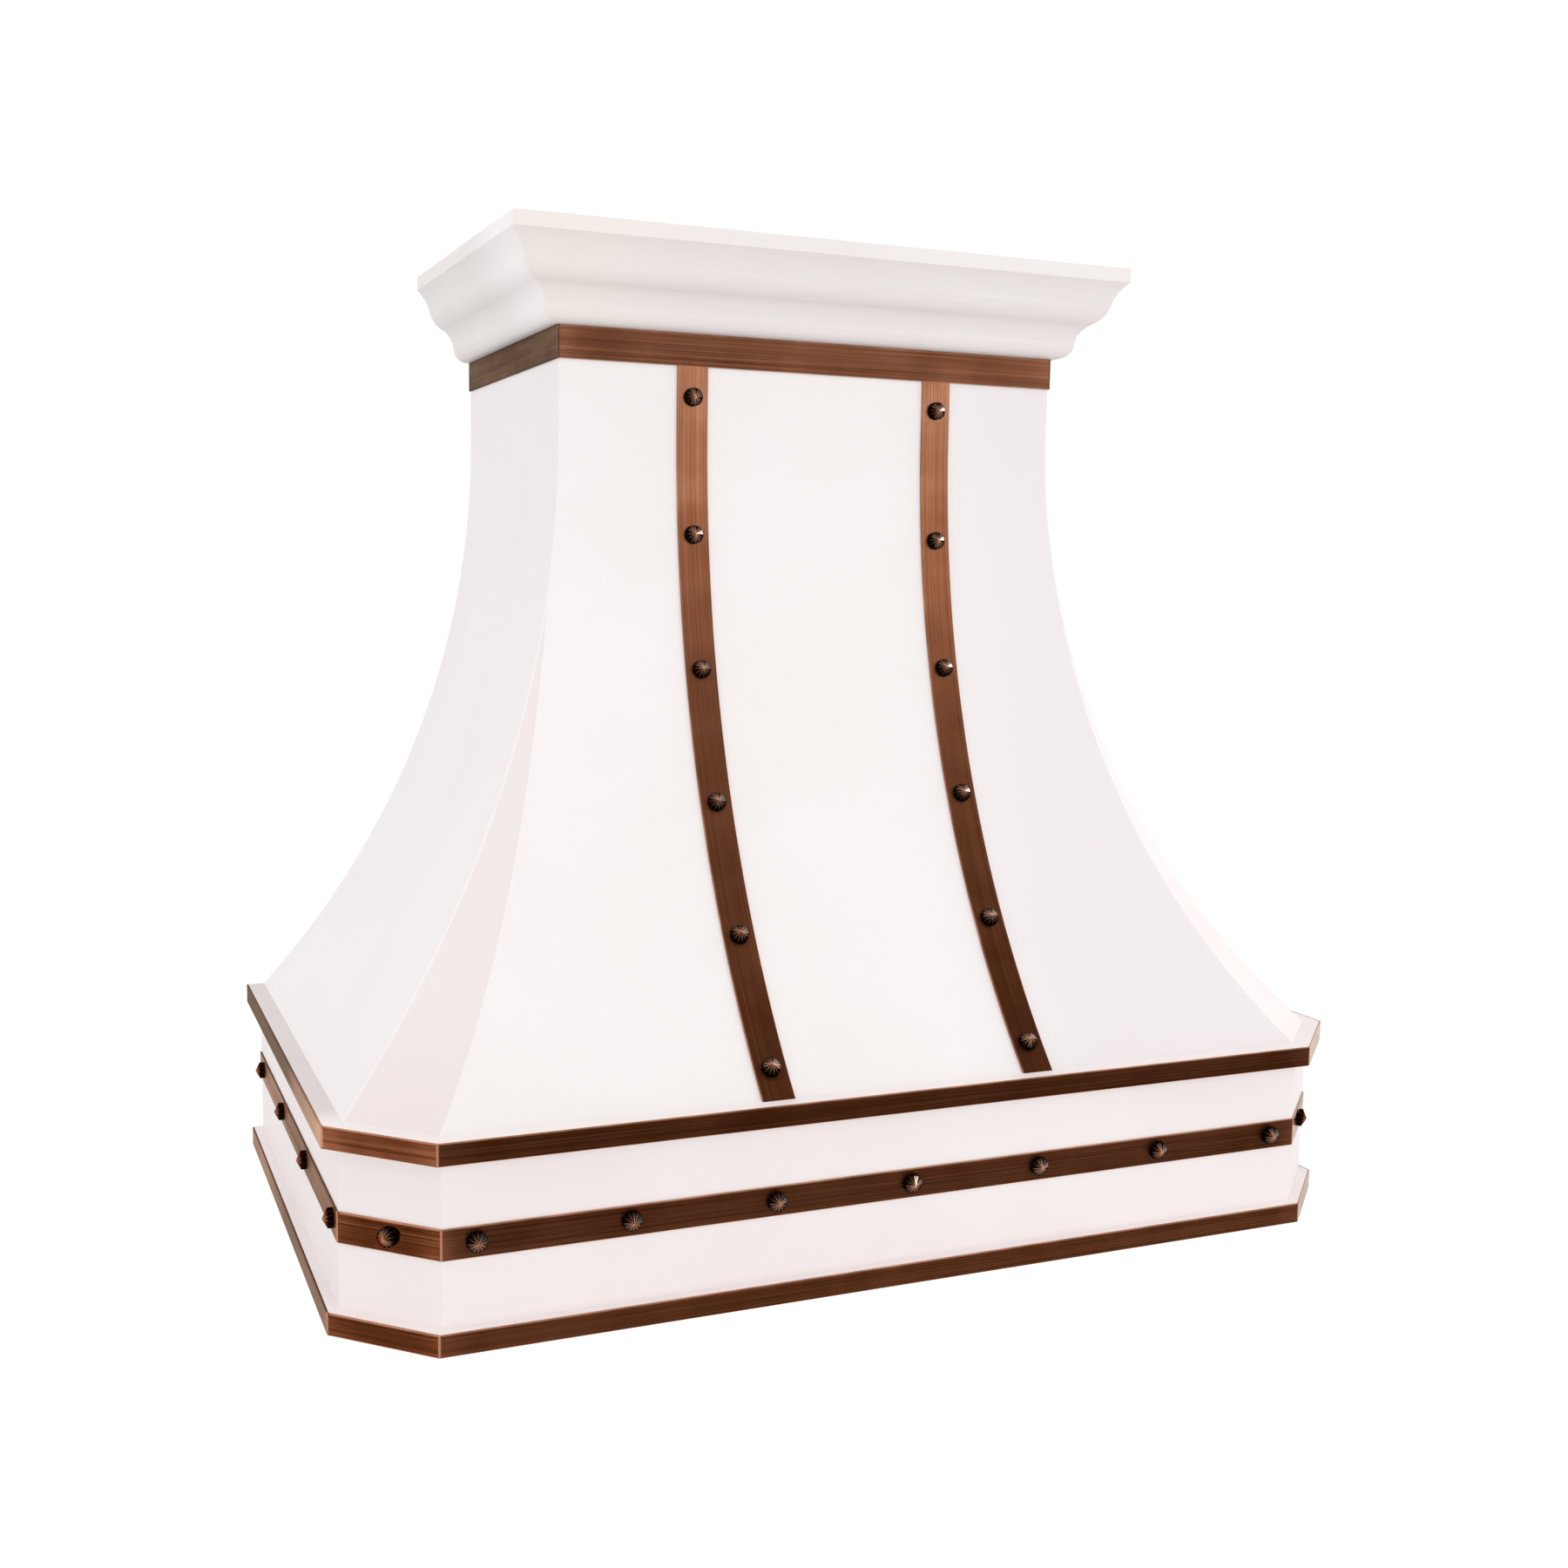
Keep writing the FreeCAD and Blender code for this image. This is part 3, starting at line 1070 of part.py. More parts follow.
# Duct collar with its two back-draught flaps
def collar():
    bore = "(duct_diameter - 2 * collar_sheet)"
    half = "(blower_width / 2 + collar_flange)"
    rear = f"({SCROLL_REAR} - {WHEEL_Y} + collar_flange)"
    front = f"(scroll_cutoff - {WHEEL_Y} - collar_flange)"
    plate = new_body("collar_plate")
    sketch = draw(new_sketch(plate, "XY_Plane", OUTLET_TOP), rectangle(f"-{half}", front, half, rear))
    draw_circle(sketch, "0", f"-{DUCT_Y}", bore)
    pad(plate, sketch, "collar_sheet")
    keep("collar_plate", plate)
    body = new_body("duct_collar")
    tube = draw_circle(new_sketch(body, "XY_Plane", COLLAR_FOOT), "0", f"-{DUCT_Y}", "duct_diameter")
    draw_circle(tube, "0", f"-{DUCT_Y}", bore)
    pad(body, tube, "collar_height")
    lip_top = f"({DAMPER_Z} - damper_sheet / 2 - damper_play)"
    lip = draw_circle(new_sketch(body, "XY_Plane", f"{lip_top} - collar_sheet"), "0", f"-{DUCT_Y}",
                      "duct_diameter - collar_sheet")
    draw_circle(lip, "0", f"-{DUCT_Y}", f"{bore} - 2 * collar_lip")
    pad(body, lip, "collar_sheet")
    holes = draw_circle(new_sketch(body, "YZ_Plane"), f"-{DUCT_Y}", DAMPER_Z, "damper_pin")
    pocket(body, holes)
    keep("duct_collar", body)

    pin = new_body("damper_pin")
    sketch = draw_circle(new_sketch(pin, "YZ_Plane"), f"-{DUCT_Y}", DAMPER_Z, "damper_pin")
    pad(pin, sketch, "duct_diameter - collar_sheet", symmetric=True)
    keep("damper_pin", pin)

    for label, hand in (("front_damper_flap", -1), ("rear_damper_flap", 1)):
        flap = new_body(label)
        outer = f"({bore} / 2 - damper_gap)"
        inner = "(knuckle_diameter / 2 + knuckle_gap)"
        half_chord = f"sqrt({outer}^2 - {inner}^2)"
        edge = f"{hand} * {inner} - {DUCT_Y}"
        far = f"{hand} * {outer} - {DUCT_Y}"
        low = f"{DAMPER_Z} - damper_sheet / 2"
        corners = [(f"-{half_chord}", edge), ("0", far), (half_chord, edge)]
        arcs = {0: (outer, hand < 0), 1: (outer, hand < 0)}
        pad(flap, draw(new_sketch(flap, "XY_Plane", low), corners, arcs), "damper_sheet")
        near_end = f"{hand} * knuckle_start"
        far_end = f"{hand} * (knuckle_start + knuckle_length)"
        start = near_end if hand > 0 else far_end
        web = rectangle(near_end, f"-{DUCT_Y}", far_end, f"{hand} * ({inner} + damper_sheet) - {DUCT_Y}")
        pad(flap, draw(new_sketch(flap, "XY_Plane", low), web), "damper_sheet")
        knuckle = new_sketch(flap, "YZ_Plane", start)
        pad(flap, draw_circle(knuckle, f"-{DUCT_Y}", DAMPER_Z, "knuckle_diameter"), "knuckle_length")
        bore_sketch = new_sketch(flap, "YZ_Plane")
        pocket(flap, draw_circle(bore_sketch, f"-{DUCT_Y}", DAMPER_Z, "damper_pin + 2 * damper_play"))
        keep(label, flap)


def finish():
    """Check every object, then write each piece to its own file."""
    doc.recompute()
    faults = [item.Label for item in doc.Objects if {"Invalid", "Error"} & set(item.State)]
    for label, piece in nodes.items():
        shape = piece.Shape
        if shape.isNull() or not shape.isValid() or not shape.Solids:
            faults.append(label)
    if faults:
        raise RuntimeError("pieces that did not build: " + ", ".join(faults))
    os.makedirs("parts", exist_ok=True)
    for label, piece in nodes.items():
        piece.Shape.exportStep(f"parts/{label}.step")
        box = piece.Shape.BoundBox
        print(f"{label}: {len(piece.Shape.Solids)} solids, {piece.Shape.Volume / 1000:.1f} cm3, "
              f"x {box.XMin:.1f}..{box.XMax:.1f} y {box.YMin:.1f}..{box.YMax:.1f} "
              f"z {box.ZMin:.1f}..{box.ZMax:.1f}")


apron()
body_sheets()
crown()
neck()
back()
liner()
lamps()
controls()
filters()
blower()
motor()
collar()
finish()
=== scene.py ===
"""Finishes, small fittings and the stage for a curved range hood with copper straps."""

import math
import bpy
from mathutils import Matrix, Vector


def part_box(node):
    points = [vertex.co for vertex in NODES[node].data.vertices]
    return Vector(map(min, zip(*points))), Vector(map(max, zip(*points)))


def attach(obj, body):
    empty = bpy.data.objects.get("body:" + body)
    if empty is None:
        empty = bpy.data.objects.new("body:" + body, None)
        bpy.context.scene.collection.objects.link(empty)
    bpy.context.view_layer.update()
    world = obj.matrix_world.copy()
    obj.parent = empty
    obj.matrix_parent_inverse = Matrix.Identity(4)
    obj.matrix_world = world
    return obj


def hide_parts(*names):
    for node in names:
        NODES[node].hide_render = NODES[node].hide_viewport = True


bl_info = {
    "name": "Curved range hood",
    "version": (1, 0, 0),
    "blender": (4, 5, 0),
    "location": "View3D > Sidebar > Hood",
    "description": "Dresses a curved, copper-strapped range hood with its finishes and fittings",
    "category": "Object",
}

import bmesh
import bpy
from bpy.props import FloatProperty, FloatVectorProperty, PointerProperty
from mathutils import Matrix, Vector

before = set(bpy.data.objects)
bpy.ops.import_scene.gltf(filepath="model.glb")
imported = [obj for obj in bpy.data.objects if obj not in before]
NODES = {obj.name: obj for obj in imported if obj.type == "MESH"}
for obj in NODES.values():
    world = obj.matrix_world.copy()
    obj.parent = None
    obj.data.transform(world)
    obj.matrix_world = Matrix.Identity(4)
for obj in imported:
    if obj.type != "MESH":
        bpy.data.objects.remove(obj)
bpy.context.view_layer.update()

# Each band's tone, the film on its sides (partly painted reflection), the painted highlight at its
# folds, and the painted light and shade added to its tone on the corners and at the front and rear
# ends of the sides
BANDS = {
    "lower_ledge_band": dict(tone=0.44, dull=0.25, shine=0.4, turned_shade=-0.23, fore_sheen=0.15, rear=0.33),
    "middle_band": dict(tone=0.435, dull=0.2, shine=0.52, turned_shade=-0.15, fore_sheen=0.12, rear=0.36),
    "upper_ledge_band": dict(tone=0.375, dull=0.6, shine=0.4, turned_shade=0.01, fore_sheen=0.5, rear=-0.12),
    "neck_band": dict(tone=0.555, dull=0.85, shine=0.3, turned_shade=0.0, fore_sheen=0.0, rear=0.0),
}
STRAPS = ("left_strap", "right_strap")
STUDS = ("left_strap_studs", "right_strap_studs", "front_apron_studs", "left_apron_studs",
         "right_apron_studs")
BUTTONS = ("fan_button", "low_speed_button", "high_speed_button", "light_button")
STUD_SIDES = 12
# Depth in plan of the apron's corners, and the distances at which vertices touch or lie level
CORNER_CUT = 0.074
TOUCHING = 1e-5
LEVEL = 1e-6
X, Y, Z = range(3)
UP = Vector((0, 0, 1))
DOWN = Vector((0, 0, -1))
FORWARD = Vector((0, -1, 0))


# Properties
def colour(name, description, default):
    return FloatVectorProperty(name=name, description=description, default=default, size=3,
                               subtype="COLOR", min=0, max=1)


def length(name, description, default):
    return FloatProperty(name=name, description=description, default=default, min=0,
                         subtype="DISTANCE", unit="LENGTH", precision=5)


def angle(name, description, default):
    return FloatProperty(name=name, description=description, default=default,
                         subtype="ANGLE", unit="ROTATION")


def watts(name, description, default):
    return FloatProperty(name=name, description=description, default=default, min=0, unit="POWER")


class HoodPaint(bpy.types.PropertyGroup):
    sheet: colour("Panel white", "Satin paint on the curved panels", (0.855, 0.818, 0.809))
    sheet_thin: colour("Thin panel paint", "Where the paint is thinner", (0.835, 0.790, 0.781))
    # Painted shade: the front panel is painted cooler and darker towards its right edge, where less
    # light falls
    sheet_painted_shade: colour("Cool panel paint", "On the front panel's right", (0.792, 0.735, 0.744))
    # Painted light: the apron white is set lighter than the panel white to make up for the light
    # the low apron gets
    apron: colour("Apron white", "Paint on apron, ledges and right corner", (0.905, 0.842, 0.832))
    apron_thin: colour("Thin apron paint", "Where the paint is thinner", (0.885, 0.812, 0.802))
    # Painted shade: the left corner gore gets this darker white, while the right corner gore takes
    # the lighter apron white as painted light
    corner: colour("Corner white", "Satin paint on the left corner", (0.806, 0.734, 0.725))
    corner_thin: colour("Thin corner paint", "Where the paint is thinner", (0.786, 0.706, 0.698))
    wood: colour("Crown white", "Brushed paint on the crown", (0.800, 0.754, 0.742))
    wood_thin: colour("Thin crown paint", "In the brush marks", (0.775, 0.722, 0.710))
    # Painted shade: a warmer, darker white on the front crown towards its left mitre
    wood_painted_shade: colour("Warm crown paint", "At the front crown's left mitre", (0.812, 0.755, 0.718))
    # Painted light: a lighter white on the left crown towards its front mitre
    wood_painted_light: colour("Full crown paint", "At the left crown's mitre", (0.905, 0.868, 0.858))
    # Painted shade: this colour darkens the top of the upper ledge along the left side, beside the
    # left panel's foot
    dust_and_shade: colour("Dust", "Dust that has settled on the upper ledge", (0.690, 0.635, 0.628))
    peel: length("Orange peel", "Width of the ripples that spraying leaves", 0.0024)
    brush: length("Brush mark", "Width of the brush marks on the wood", 0.0016)
    edge: length("Edge round", "Rounding that the paint gives an edge", 0.0008)


class HoodCopper(bpy.types.PropertyGroup):
    patina: colour("Patina", "Darkest part of the aged copper", (0.026, 0.0070, 0.0025))
    brown: colour("Brown", "Aged copper", (0.125, 0.034, 0.0105))
    copper: colour("Copper", "Brushed copper", (0.34, 0.122, 0.058))
    # Wear and painted highlight: the bright copper of the edges and folds
    worn_and_sheen: colour("Worn", "Copper rubbed bright on edges and folds", (0.68, 0.345, 0.210))
    # Partly painted reflection: the film that dulls the band sides also stands in for their duller,
    # grey-brown reflection
    film: colour("Film", "Dull film on the sides of the bands", (0.135, 0.092, 0.069))
    film_dark: colour("Dark film", "Darker places in the film", (0.065, 0.041, 0.031))
    streak: length("Streak", "Width of the brushed streaks", 0.0016)
    rub: length("Rubbed edge", "Width of the bright line along an edge", 0.0026)
    # Painted highlight: how far the brighter copper reaches from a fold
    glow: length("Fold", "How far the brighter copper reaches from a fold", 0.036)
    edge: length("Edge round", "Rounding of a strip's edges", 0.0004)


class HoodStuds(bpy.types.PropertyGroup):
    bronze: colour("Bronze", "Dark oiled facets", (0.046, 0.018, 0.011))
    # Painted light: the studs on the corners and sides get this lighter bronze
    bronze_painted_light: colour("Bare bronze", "Facets on the corners and the sides", (0.15, 0.066, 0.038))
    rim: colour("Rim", "Rim and the foot of the facets", (0.012, 0.004, 0.0025))
    ridge: colour("Ridge", "Copper rubbed through on the ridges", (0.60, 0.27, 0.15))
    ridge_width: length("Ridge width", "Width of the rubbed ridges", 0.0008)
    width: length("Width", "Across the corners of a stud", 0.0184)
    base: length("Base", "Height of the straight rim", 0.0042)
    point: length("Point", "Height of the faceted point", 0.0046)
    tip: length("Tip", "Across the corners of the tip", 0.0008)
    edge: length("Edge round", "Rounding of the shoulder", 0.0003)


class HoodSteel(bpy.types.PropertyGroup):
    stainless: colour("Stainless", "Brushed stainless", (0.62, 0.61, 0.60))
    stainless_dark: colour("Brushed lines", "Darker lines in the brushing", (0.44, 0.435, 0.43))
    polished: colour("Polished", "Polished rings of the lamps", (0.80, 0.79, 0.78))
    zinc: colour("Zinc", "Bright spangles of the zinc coat", (0.62, 0.64, 0.66))
    zinc_dark: colour("Dull zinc", "Dull spangles of the zinc coat", (0.42, 0.44, 0.46))
    line: length("Line", "Width of the brushed lines", 0.0009)
    spangle: length("Spangle", "Width of the zinc spangles", 0.014)
    edge: length("Edge round", "Rounding of a sheet's edges", 0.0003)


class HoodFittings(bpy.types.PropertyGroup):
    enamel: colour("Enamel", "Motor enamel", (0.045, 0.048, 0.054))
    bush: colour("Bush", "Sintered bronze", (0.42, 0.24, 0.10))
    plastic: colour("Plastic", "Buttons and switch box", (0.018, 0.018, 0.019))
    symbol: colour("Sign", "Raised signs on the buttons", (0.72, 0.72, 0.70))
    lens: colour("Lens", "Frosted lamp lens", (0.86, 0.85, 0.80))
    lens_dark: colour("Lens edge", "Rim of the lens and what shows through it", (0.50, 0.46, 0.34))
    veneer: colour("Veneer", "Light plies", (0.52, 0.36, 0.20))
    veneer_dark: colour("Dark veneer", "Dark plies and grain", (0.33, 0.20, 0.10))
    ply: length("Ply", "Thickness of one ply", 0.0015)
    button_edge: length("Button edge", "Rounding of the buttons", 0.0006)
    raised: length("Raised", "Height of the signs on the buttons", 0.0003)
    ring: length("Lens ring", "From one ring of a lens to the next", 0.0022)
    diode: length("Diode", "From one diode of a lamp to the next", 0.0085)
    trim: length("Trim", "Thickness of the trim behind the liner", 0.0010)
    lip: length("Lip", "Height of the trim's folded lips", 0.012)
    rivet: length("Rivet", "Diameter of a filter's rivets", 0.0052)
    screw: length("Screw", "Across the flange of a sheet metal screw", 0.0090)


class HoodStage(bpy.types.PropertyGroup):
    eye: FloatVectorProperty(
        name="Camera", description="Where the camera stands", size=3, precision=4,
        default=(-0.74773, -2.0445, 0.66222), subtype="TRANSLATION", unit="LENGTH")
    yaw: angle("Yaw", "Camera turned right from straight on", 0.4049)
    pitch: angle("Pitch", "Camera tilted up", -0.1186)
    roll: angle("Roll", "Camera leaning", 0.0166)
    lens: FloatProperty(name="Lens", description="Focal length on a 36 mm frame", default=40.4,
                        subtype="DISTANCE_CAMERA", unit="CAMERA")
    floor: length("Floor", "Depth of the floor under the hood", 1.65)
    key: watts("Front light", "Soft light in front on the right", 6.7)
    side: watts("Side light", "Strip of light between the front and the right", 3.2)
    right: watts("Right light", "Strip of light on the right", 9)
    left: watts("Left light", "Soft light on the left", 14.5)
    low: watts("Low light", "Soft light low on the left", 3.2)
    top: watts("Top light", "Soft light overhead", 14)


# Shader boards
class Wire:
    """An output of a shader node. Arithmetic on it adds Math nodes to its board."""

    def __init__(self, board, socket):
        self.board = board
        self.socket = socket

    def output(self, name):
        return Wire(self.board, self.socket.node.outputs[name])

    def math(self, operation, *values):
        return self.board.add("ShaderNodeMath", {"operation": operation}, dict(enumerate(values)))

    def __add__(self, other):
        return self.math("ADD", self, other)

    def __radd__(self, other):
        return self.math("ADD", other, self)

    def __sub__(self, other):
        return self.math("SUBTRACT", self, other)

    def __rsub__(self, other):
        return self.math("SUBTRACT", other, self)

    def __mul__(self, other):
        return self.math("MULTIPLY", self, other)

    def __rmul__(self, other):
        return self.math("MULTIPLY", other, self)

    def __truediv__(self, other):
        return self.math("DIVIDE", self, other)

    def __rtruediv__(self, other):
        return self.math("DIVIDE", other, self)

    def __abs__(self):
        return self.math("ABSOLUTE", self)

    def lower(self, other):
        return self.math("MINIMUM", self, other)

    def higher(self, other):
        return self.math("MAXIMUM", self, other)

    def root(self):
        return self.math("SQRT", self)

    def fraction(self):
        return self.math("FRACT", self)


class Board:
    """One node tree, to which nodes are added."""

    def __init__(self, tree):
        self.tree = tree
        tree.nodes.clear()

    def add(self, kind, settings=None, values=None, output=0):
        """A node of that kind, with its settings and the values or links of its sockets."""
        node = self.tree.nodes.new(kind)
        for name, setting in (settings or {}).items():
            if name == "stops":
                self.set_stops(node.color_ramp, setting)
            else:
                setattr(node, name, setting)
        for name, value in (values or {}).items():
            if isinstance(value, Wire):
                self.tree.links.new(value.socket, node.inputs[name])
            else:
                node.inputs[name].default_value = value
        return Wire(self, node.outputs[output]) if node.outputs else node

    def set_stops(self, ramp, stops):
        for place, _ in stops[1:-1]:
            ramp.elements.new(place)
        for element, (place, shade) in zip(ramp.elements, stops):
            element.position = place
            element.color = (*shade, 1)

    def place(self):
        """The three Object coordinates."""
        point = self.add("ShaderNodeTexCoord", output="Object")
        x = self.add("ShaderNodeSeparateXYZ", values={0: point})
        return x, x.output("Y"), x.output("Z")

    def stretched(self, *widths):
        """Object coordinates counted in features this wide along each axis, or along all."""
        point = self.add("ShaderNodeTexCoord", output="Object")
        scale = [1 / width for width in (widths if len(widths) > 1 else widths * 3)]
        return self.add("ShaderNodeMapping", values={"Vector": point, "Scale": scale})

    def noise(self, vector, detail=2.0, roughness=0.5):
        return self.add("ShaderNodeTexNoise", values={
            "Vector": vector, "Scale": 1.0, "Detail": detail, "Roughness": roughness})

    def spread(self, value, low, high, first=0.0, last=1.0):
        """Eases from first at low to last at high."""
        return self.add("ShaderNodeMapRange", {"interpolation_type": "SMOOTHSTEP"}, {
            "Value": value, "From Min": low, "From Max": high, "To Min": first, "To Max": last})

    def blend(self, share, first, second):
        """A colour between two others."""
        values = {0: share}
        for socket, shade in ((6, first), (7, second)):
            values[socket] = shade if isinstance(shade, Wire) else (*shade, 1)
        return self.add("ShaderNodeMix", {"data_type": "RGBA"}, values, output=2)

    def ramp(self, value, *stops):
        return self.add("ShaderNodeValToRGB", {"stops": stops}, {0: value})


class Finish(Board):
    """One material: a Principled shader and the nodes that feed it."""

    def __init__(self, name, **fixed):
        self.material = bpy.data.materials.new(name)
        self.material.use_nodes = True
        super().__init__(self.material.node_tree)
        surface = self.add("ShaderNodeBsdfPrincipled")
        self.add("ShaderNodeOutputMaterial", values={"Surface": surface})
        self.shader = surface.socket.node
        for socket, value in fixed.items():
            self.shader.inputs[socket.replace("_", " ")].default_value = value

    def feed(self, socket, wire):
        self.tree.links.new(wire.socket, self.shader.inputs[socket])

    def relief(self, height, depth):
        """Bumps of that depth, in metres, where height goes from 0 to 1."""
        self.feed("Normal", self.add("ShaderNodeBump", values={
            "Strength": 1.0, "Distance": depth, "Height": height}))


# Helpers for the pieces
def dress(finish, *names):
    for name in names:
        NODES[name].material_slots[0].material = finish.material


def soften(width, *names):
    """Small rounded edges on a node whose faces meet sharply."""
    for name in names:
        weld = NODES[name].modifiers.new("weld", "WELD")
        weld.merge_threshold = TOUCHING
        bevel = NODES[name].modifiers.new("edge", "BEVEL")
        bevel.width = width
        bevel.segments = 2
        bevel.limit_method = "ANGLE"
        bevel.angle_limit = math.radians(40)
        bevel.use_clamp_overlap = True


def make_piece(name, fill, body, finish):
    """A new piece whose mesh is filled in by a function, riding on a body."""
    mesh = bpy.data.meshes.new(name)
    shape = bmesh.new()
    fill(shape)
    shape.to_mesh(mesh)
    shape.free()
    mesh.materials.append(finish.material)
    piece = bpy.data.objects.new(name, mesh)
    bpy.context.scene.collection.objects.link(piece)
    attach(piece, body)
    return piece


def verts_in(items):
    return [item for item in items if isinstance(item, bmesh.types.BMVert)]


def faces_of(made):
    """The faces that an operator's new vertices belong to."""
    return list({face for vert in made["verts"] for face in vert.link_faces})


def set_down(shape, places):
    """Copies a shape that stands on the origin to each foot and axis, then deletes the first."""
    pattern = shape.verts[:] + shape.edges[:] + shape.faces[:]
    for foot, axis in places:
        copied = bmesh.ops.duplicate(shape, geom=pattern)["geom"]
        turn = UP.rotation_difference(axis).to_matrix().to_4x4()
        bmesh.ops.transform(shape, matrix=Matrix.Translation(foot) @ turn, verts=verts_in(copied))
    bmesh.ops.delete(shape, geom=verts_in(pattern), context="VERTS")


def raise_faces(shape, faces, height, scale=1.0):
    """Extrudes faces upwards, scales the new outline about the Z axis and returns the tops."""
    made = bmesh.ops.extrude_face_region(shape, geom=faces)["geom"]
    verts = verts_in(made)
    bmesh.ops.translate(shape, verts=verts, vec=(0, 0, height))
    bmesh.ops.scale(shape, verts=verts, vec=(scale, scale, 1))
    bmesh.ops.delete(shape, geom=[face for face in faces if face.is_valid], context="FACES_ONLY")
    return [item for item in made if isinstance(item, bmesh.types.BMFace)]


def disc(shape, sides, width):
    """A flat disc about the origin, as a list of its one face."""
    return faces_of(bmesh.ops.create_circle(
        shape, cap_ends=True, segments=sides, radius=width / 2))


def round_edges(shape, edges, width, segments):
    bmesh.ops.bevel(shape, geom=edges, affect="EDGES", offset=width, segments=segments,
                    profile=0.5, material=-1)


def plan_distance(x, y, corner):
    """Distance in plan from an upright fold and from its twin on the other side."""
    across = abs(x) - corner[0]
    along = y - corner[1]
    return (across * across + along * along).root()


# White paint
def fade_in(finish, shade, cloud, painted_light, fades):
    """Painted light and shade: a colour that comes in along each axis that has a fade, from its
    first place to its second.
    """
    place, share = finish.place(), 0.75 + 0.4 * cloud
    for axis, first, second in fades:
        share = share * finish.spread(place[axis], first, second)
    return finish.blend(share, shade, painted_light)


def sheet_paint(name, thin, full, paint, painted_light=None, fades=()):
    """Sprayed paint, into which painted light and shade may fade."""
    finish = Finish(name, Specular_IOR_Level=0.45)
    cloud = finish.noise(finish.stretched(0.22), 3)
    peel = finish.noise(finish.stretched(paint.peel), 2)
    share = finish.spread(cloud * 0.85 + peel * 0.15, 0.35, 0.65)
    shade = finish.blend(share, thin, full)
    finish.feed("Base Color", fade_in(finish, shade, cloud, painted_light, fades) if painted_light else shade)
    finish.feed("Roughness", 0.40 + 0.10 * cloud)
    finish.relief(peel, 0.00003)
    return finish


def wood_paint(name, thin, full, paint, run, painted_light=None, fades=()):
    """Brush marks lie along the wood. Run gives their size on each axis, in brush widths. Painted
    light and shade may fade in.
    """
    finish = Finish(name, Specular_IOR_Level=0.45)
    marks = finish.noise(finish.stretched(*[paint.brush * times for times in run]), 3, 0.6)
    cloud = finish.noise(finish.stretched(0.16), 2)
    shade = finish.blend(finish.spread(marks * 0.55 + cloud * 0.45, 0.35, 0.65), thin, full)
    finish.feed("Base Color", fade_in(finish, shade, cloud, painted_light, fades) if painted_light else shade)
    finish.feed("Roughness", 0.38 + 0.14 * marks)
    finish.relief(marks, 0.00006)
    return finish


class HOOD_OT_paint_sheets(bpy.types.Operator):
    """Satin white paint on the curved sheets and the apron"""

    bl_idname = "hood.paint_sheets"
    bl_label = "Paint the sheets"

    def execute(self, context):
        paint = context.scene.hood_paint
        sheet = (paint.sheet_thin, paint.sheet, paint)
        # Painted shade fades in towards the front panel's right edge
        front = sheet_paint("satin_white_front", *sheet, paint.sheet_painted_shade, [(X, 0.04, 0.26)])
        dress(front, "front_panel")
        dress(sheet_paint("satin_white_sides", *sheet), "left_panel", "right_panel")
        # The apron white is lighter than the panel white as painted light
        apron = sheet_paint("satin_white_apron", paint.apron_thin, paint.apron, paint)
        # Painted light and shade: the right corner gore takes the lighter apron white, the left one
        # a darker white
        dress(apron, "apron_wall", "right_corner_gore")
        corner = sheet_paint("satin_white_corners", paint.corner_thin, paint.corner, paint)
        dress(corner, "left_corner_gore")
        return {"FINISHED"}


class HOOD_OT_paint_wood(bpy.types.Operator):
    """Brushed white paint on the crown and the ledges"""

    bl_idname = "hood.paint_wood"
    bl_label = "Paint the wood"

    def execute(self, context):
        paint = context.scene.hood_paint
        crown = (paint.wood_thin, paint.wood, paint)
        # Painted shade on the front crown towards its left mitre
        front = wood_paint("brushed_white_front", *crown, (60, 3, 1), paint.wood_painted_shade,
                           [(X, -0.05, -0.28)])
        dress(front, "crown_front")
        # Painted light on the left crown towards its front mitre
        left = wood_paint("brushed_white_left", *crown, (3, 60, 1), paint.wood_painted_light,
                          [(Y, -0.22, -0.40)])
        dress(left, "crown_left")
        dress(wood_paint("brushed_white_right", *crown, (3, 60, 1)), "crown_right")
        ledge = (paint.apron_thin, paint.apron, paint)
        dress(wood_paint("brushed_white_ledge", *ledge, (30, 30, 1)), "lower_ledge")
        # Painted shade on the upper ledge's top along the left side, towards the rear
        painted_shade = wood_paint("brushed_dusty_ledge", *ledge, (30, 30, 1), paint.dust_and_shade,
                           [(X, -0.44, -0.47), (Y, -0.55, -0.50)])
        dress(painted_shade, "upper_ledge")
        soften(paint.edge, "lower_ledge", "upper_ledge")
        return {"FINISHED"}


# Aged copper
def copper_board(name, copper, run, contrast):
    """A board for aged copper, the shift that streaks give its tone, and its clouds."""
    finish = Finish(name, Specular_Tint=(1.0, 0.85, 0.70, 1.0))
    wide = finish.noise(finish.stretched(*[copper.streak * times for times in run]), 3, 0.55)
    fine = finish.noise(finish.stretched(*[copper.streak * 0.3 * times for times in run]), 2, 0.5)
    cloud = finish.noise(finish.stretched(0.055), 3, 0.6)
    finish.relief(wide * 0.5 + fine * 0.5, 0.00005)
    return finish, contrast * (wide + fine - 1.0) + 0.25 * (cloud - 0.5), cloud


def colour_copper(finish, copper, tone, rubbed, film, polish=0.0):
    """Tone 0 is patina, 1 clean copper. Rubbed lines scatter, film dulls and polish smooths."""
    tone = tone.higher(rubbed)
    shade = finish.ramp(
        tone, (0.0, copper.patina), (0.34, copper.brown), (0.66, copper.copper), (1.0, copper.worn_and_sheen))
    cover = finish.noise(finish.stretched(0.12, 0.12, 0.025), 3, 0.6)
    dull = finish.blend(finish.spread(cover, 0.35, 0.65), copper.film_dark, copper.film)
    finish.feed("Base Color", finish.blend(film, shade, dull))
    finish.feed("Metallic", finish.spread(rubbed, 0.35, 0.9, 1.0, 0.4))
    rough = finish.spread(tone, 0.1, 0.9, 0.46, 0.30)
    finish.feed("Roughness", rough + 0.15 * film - 0.25 * polish)
    return finish


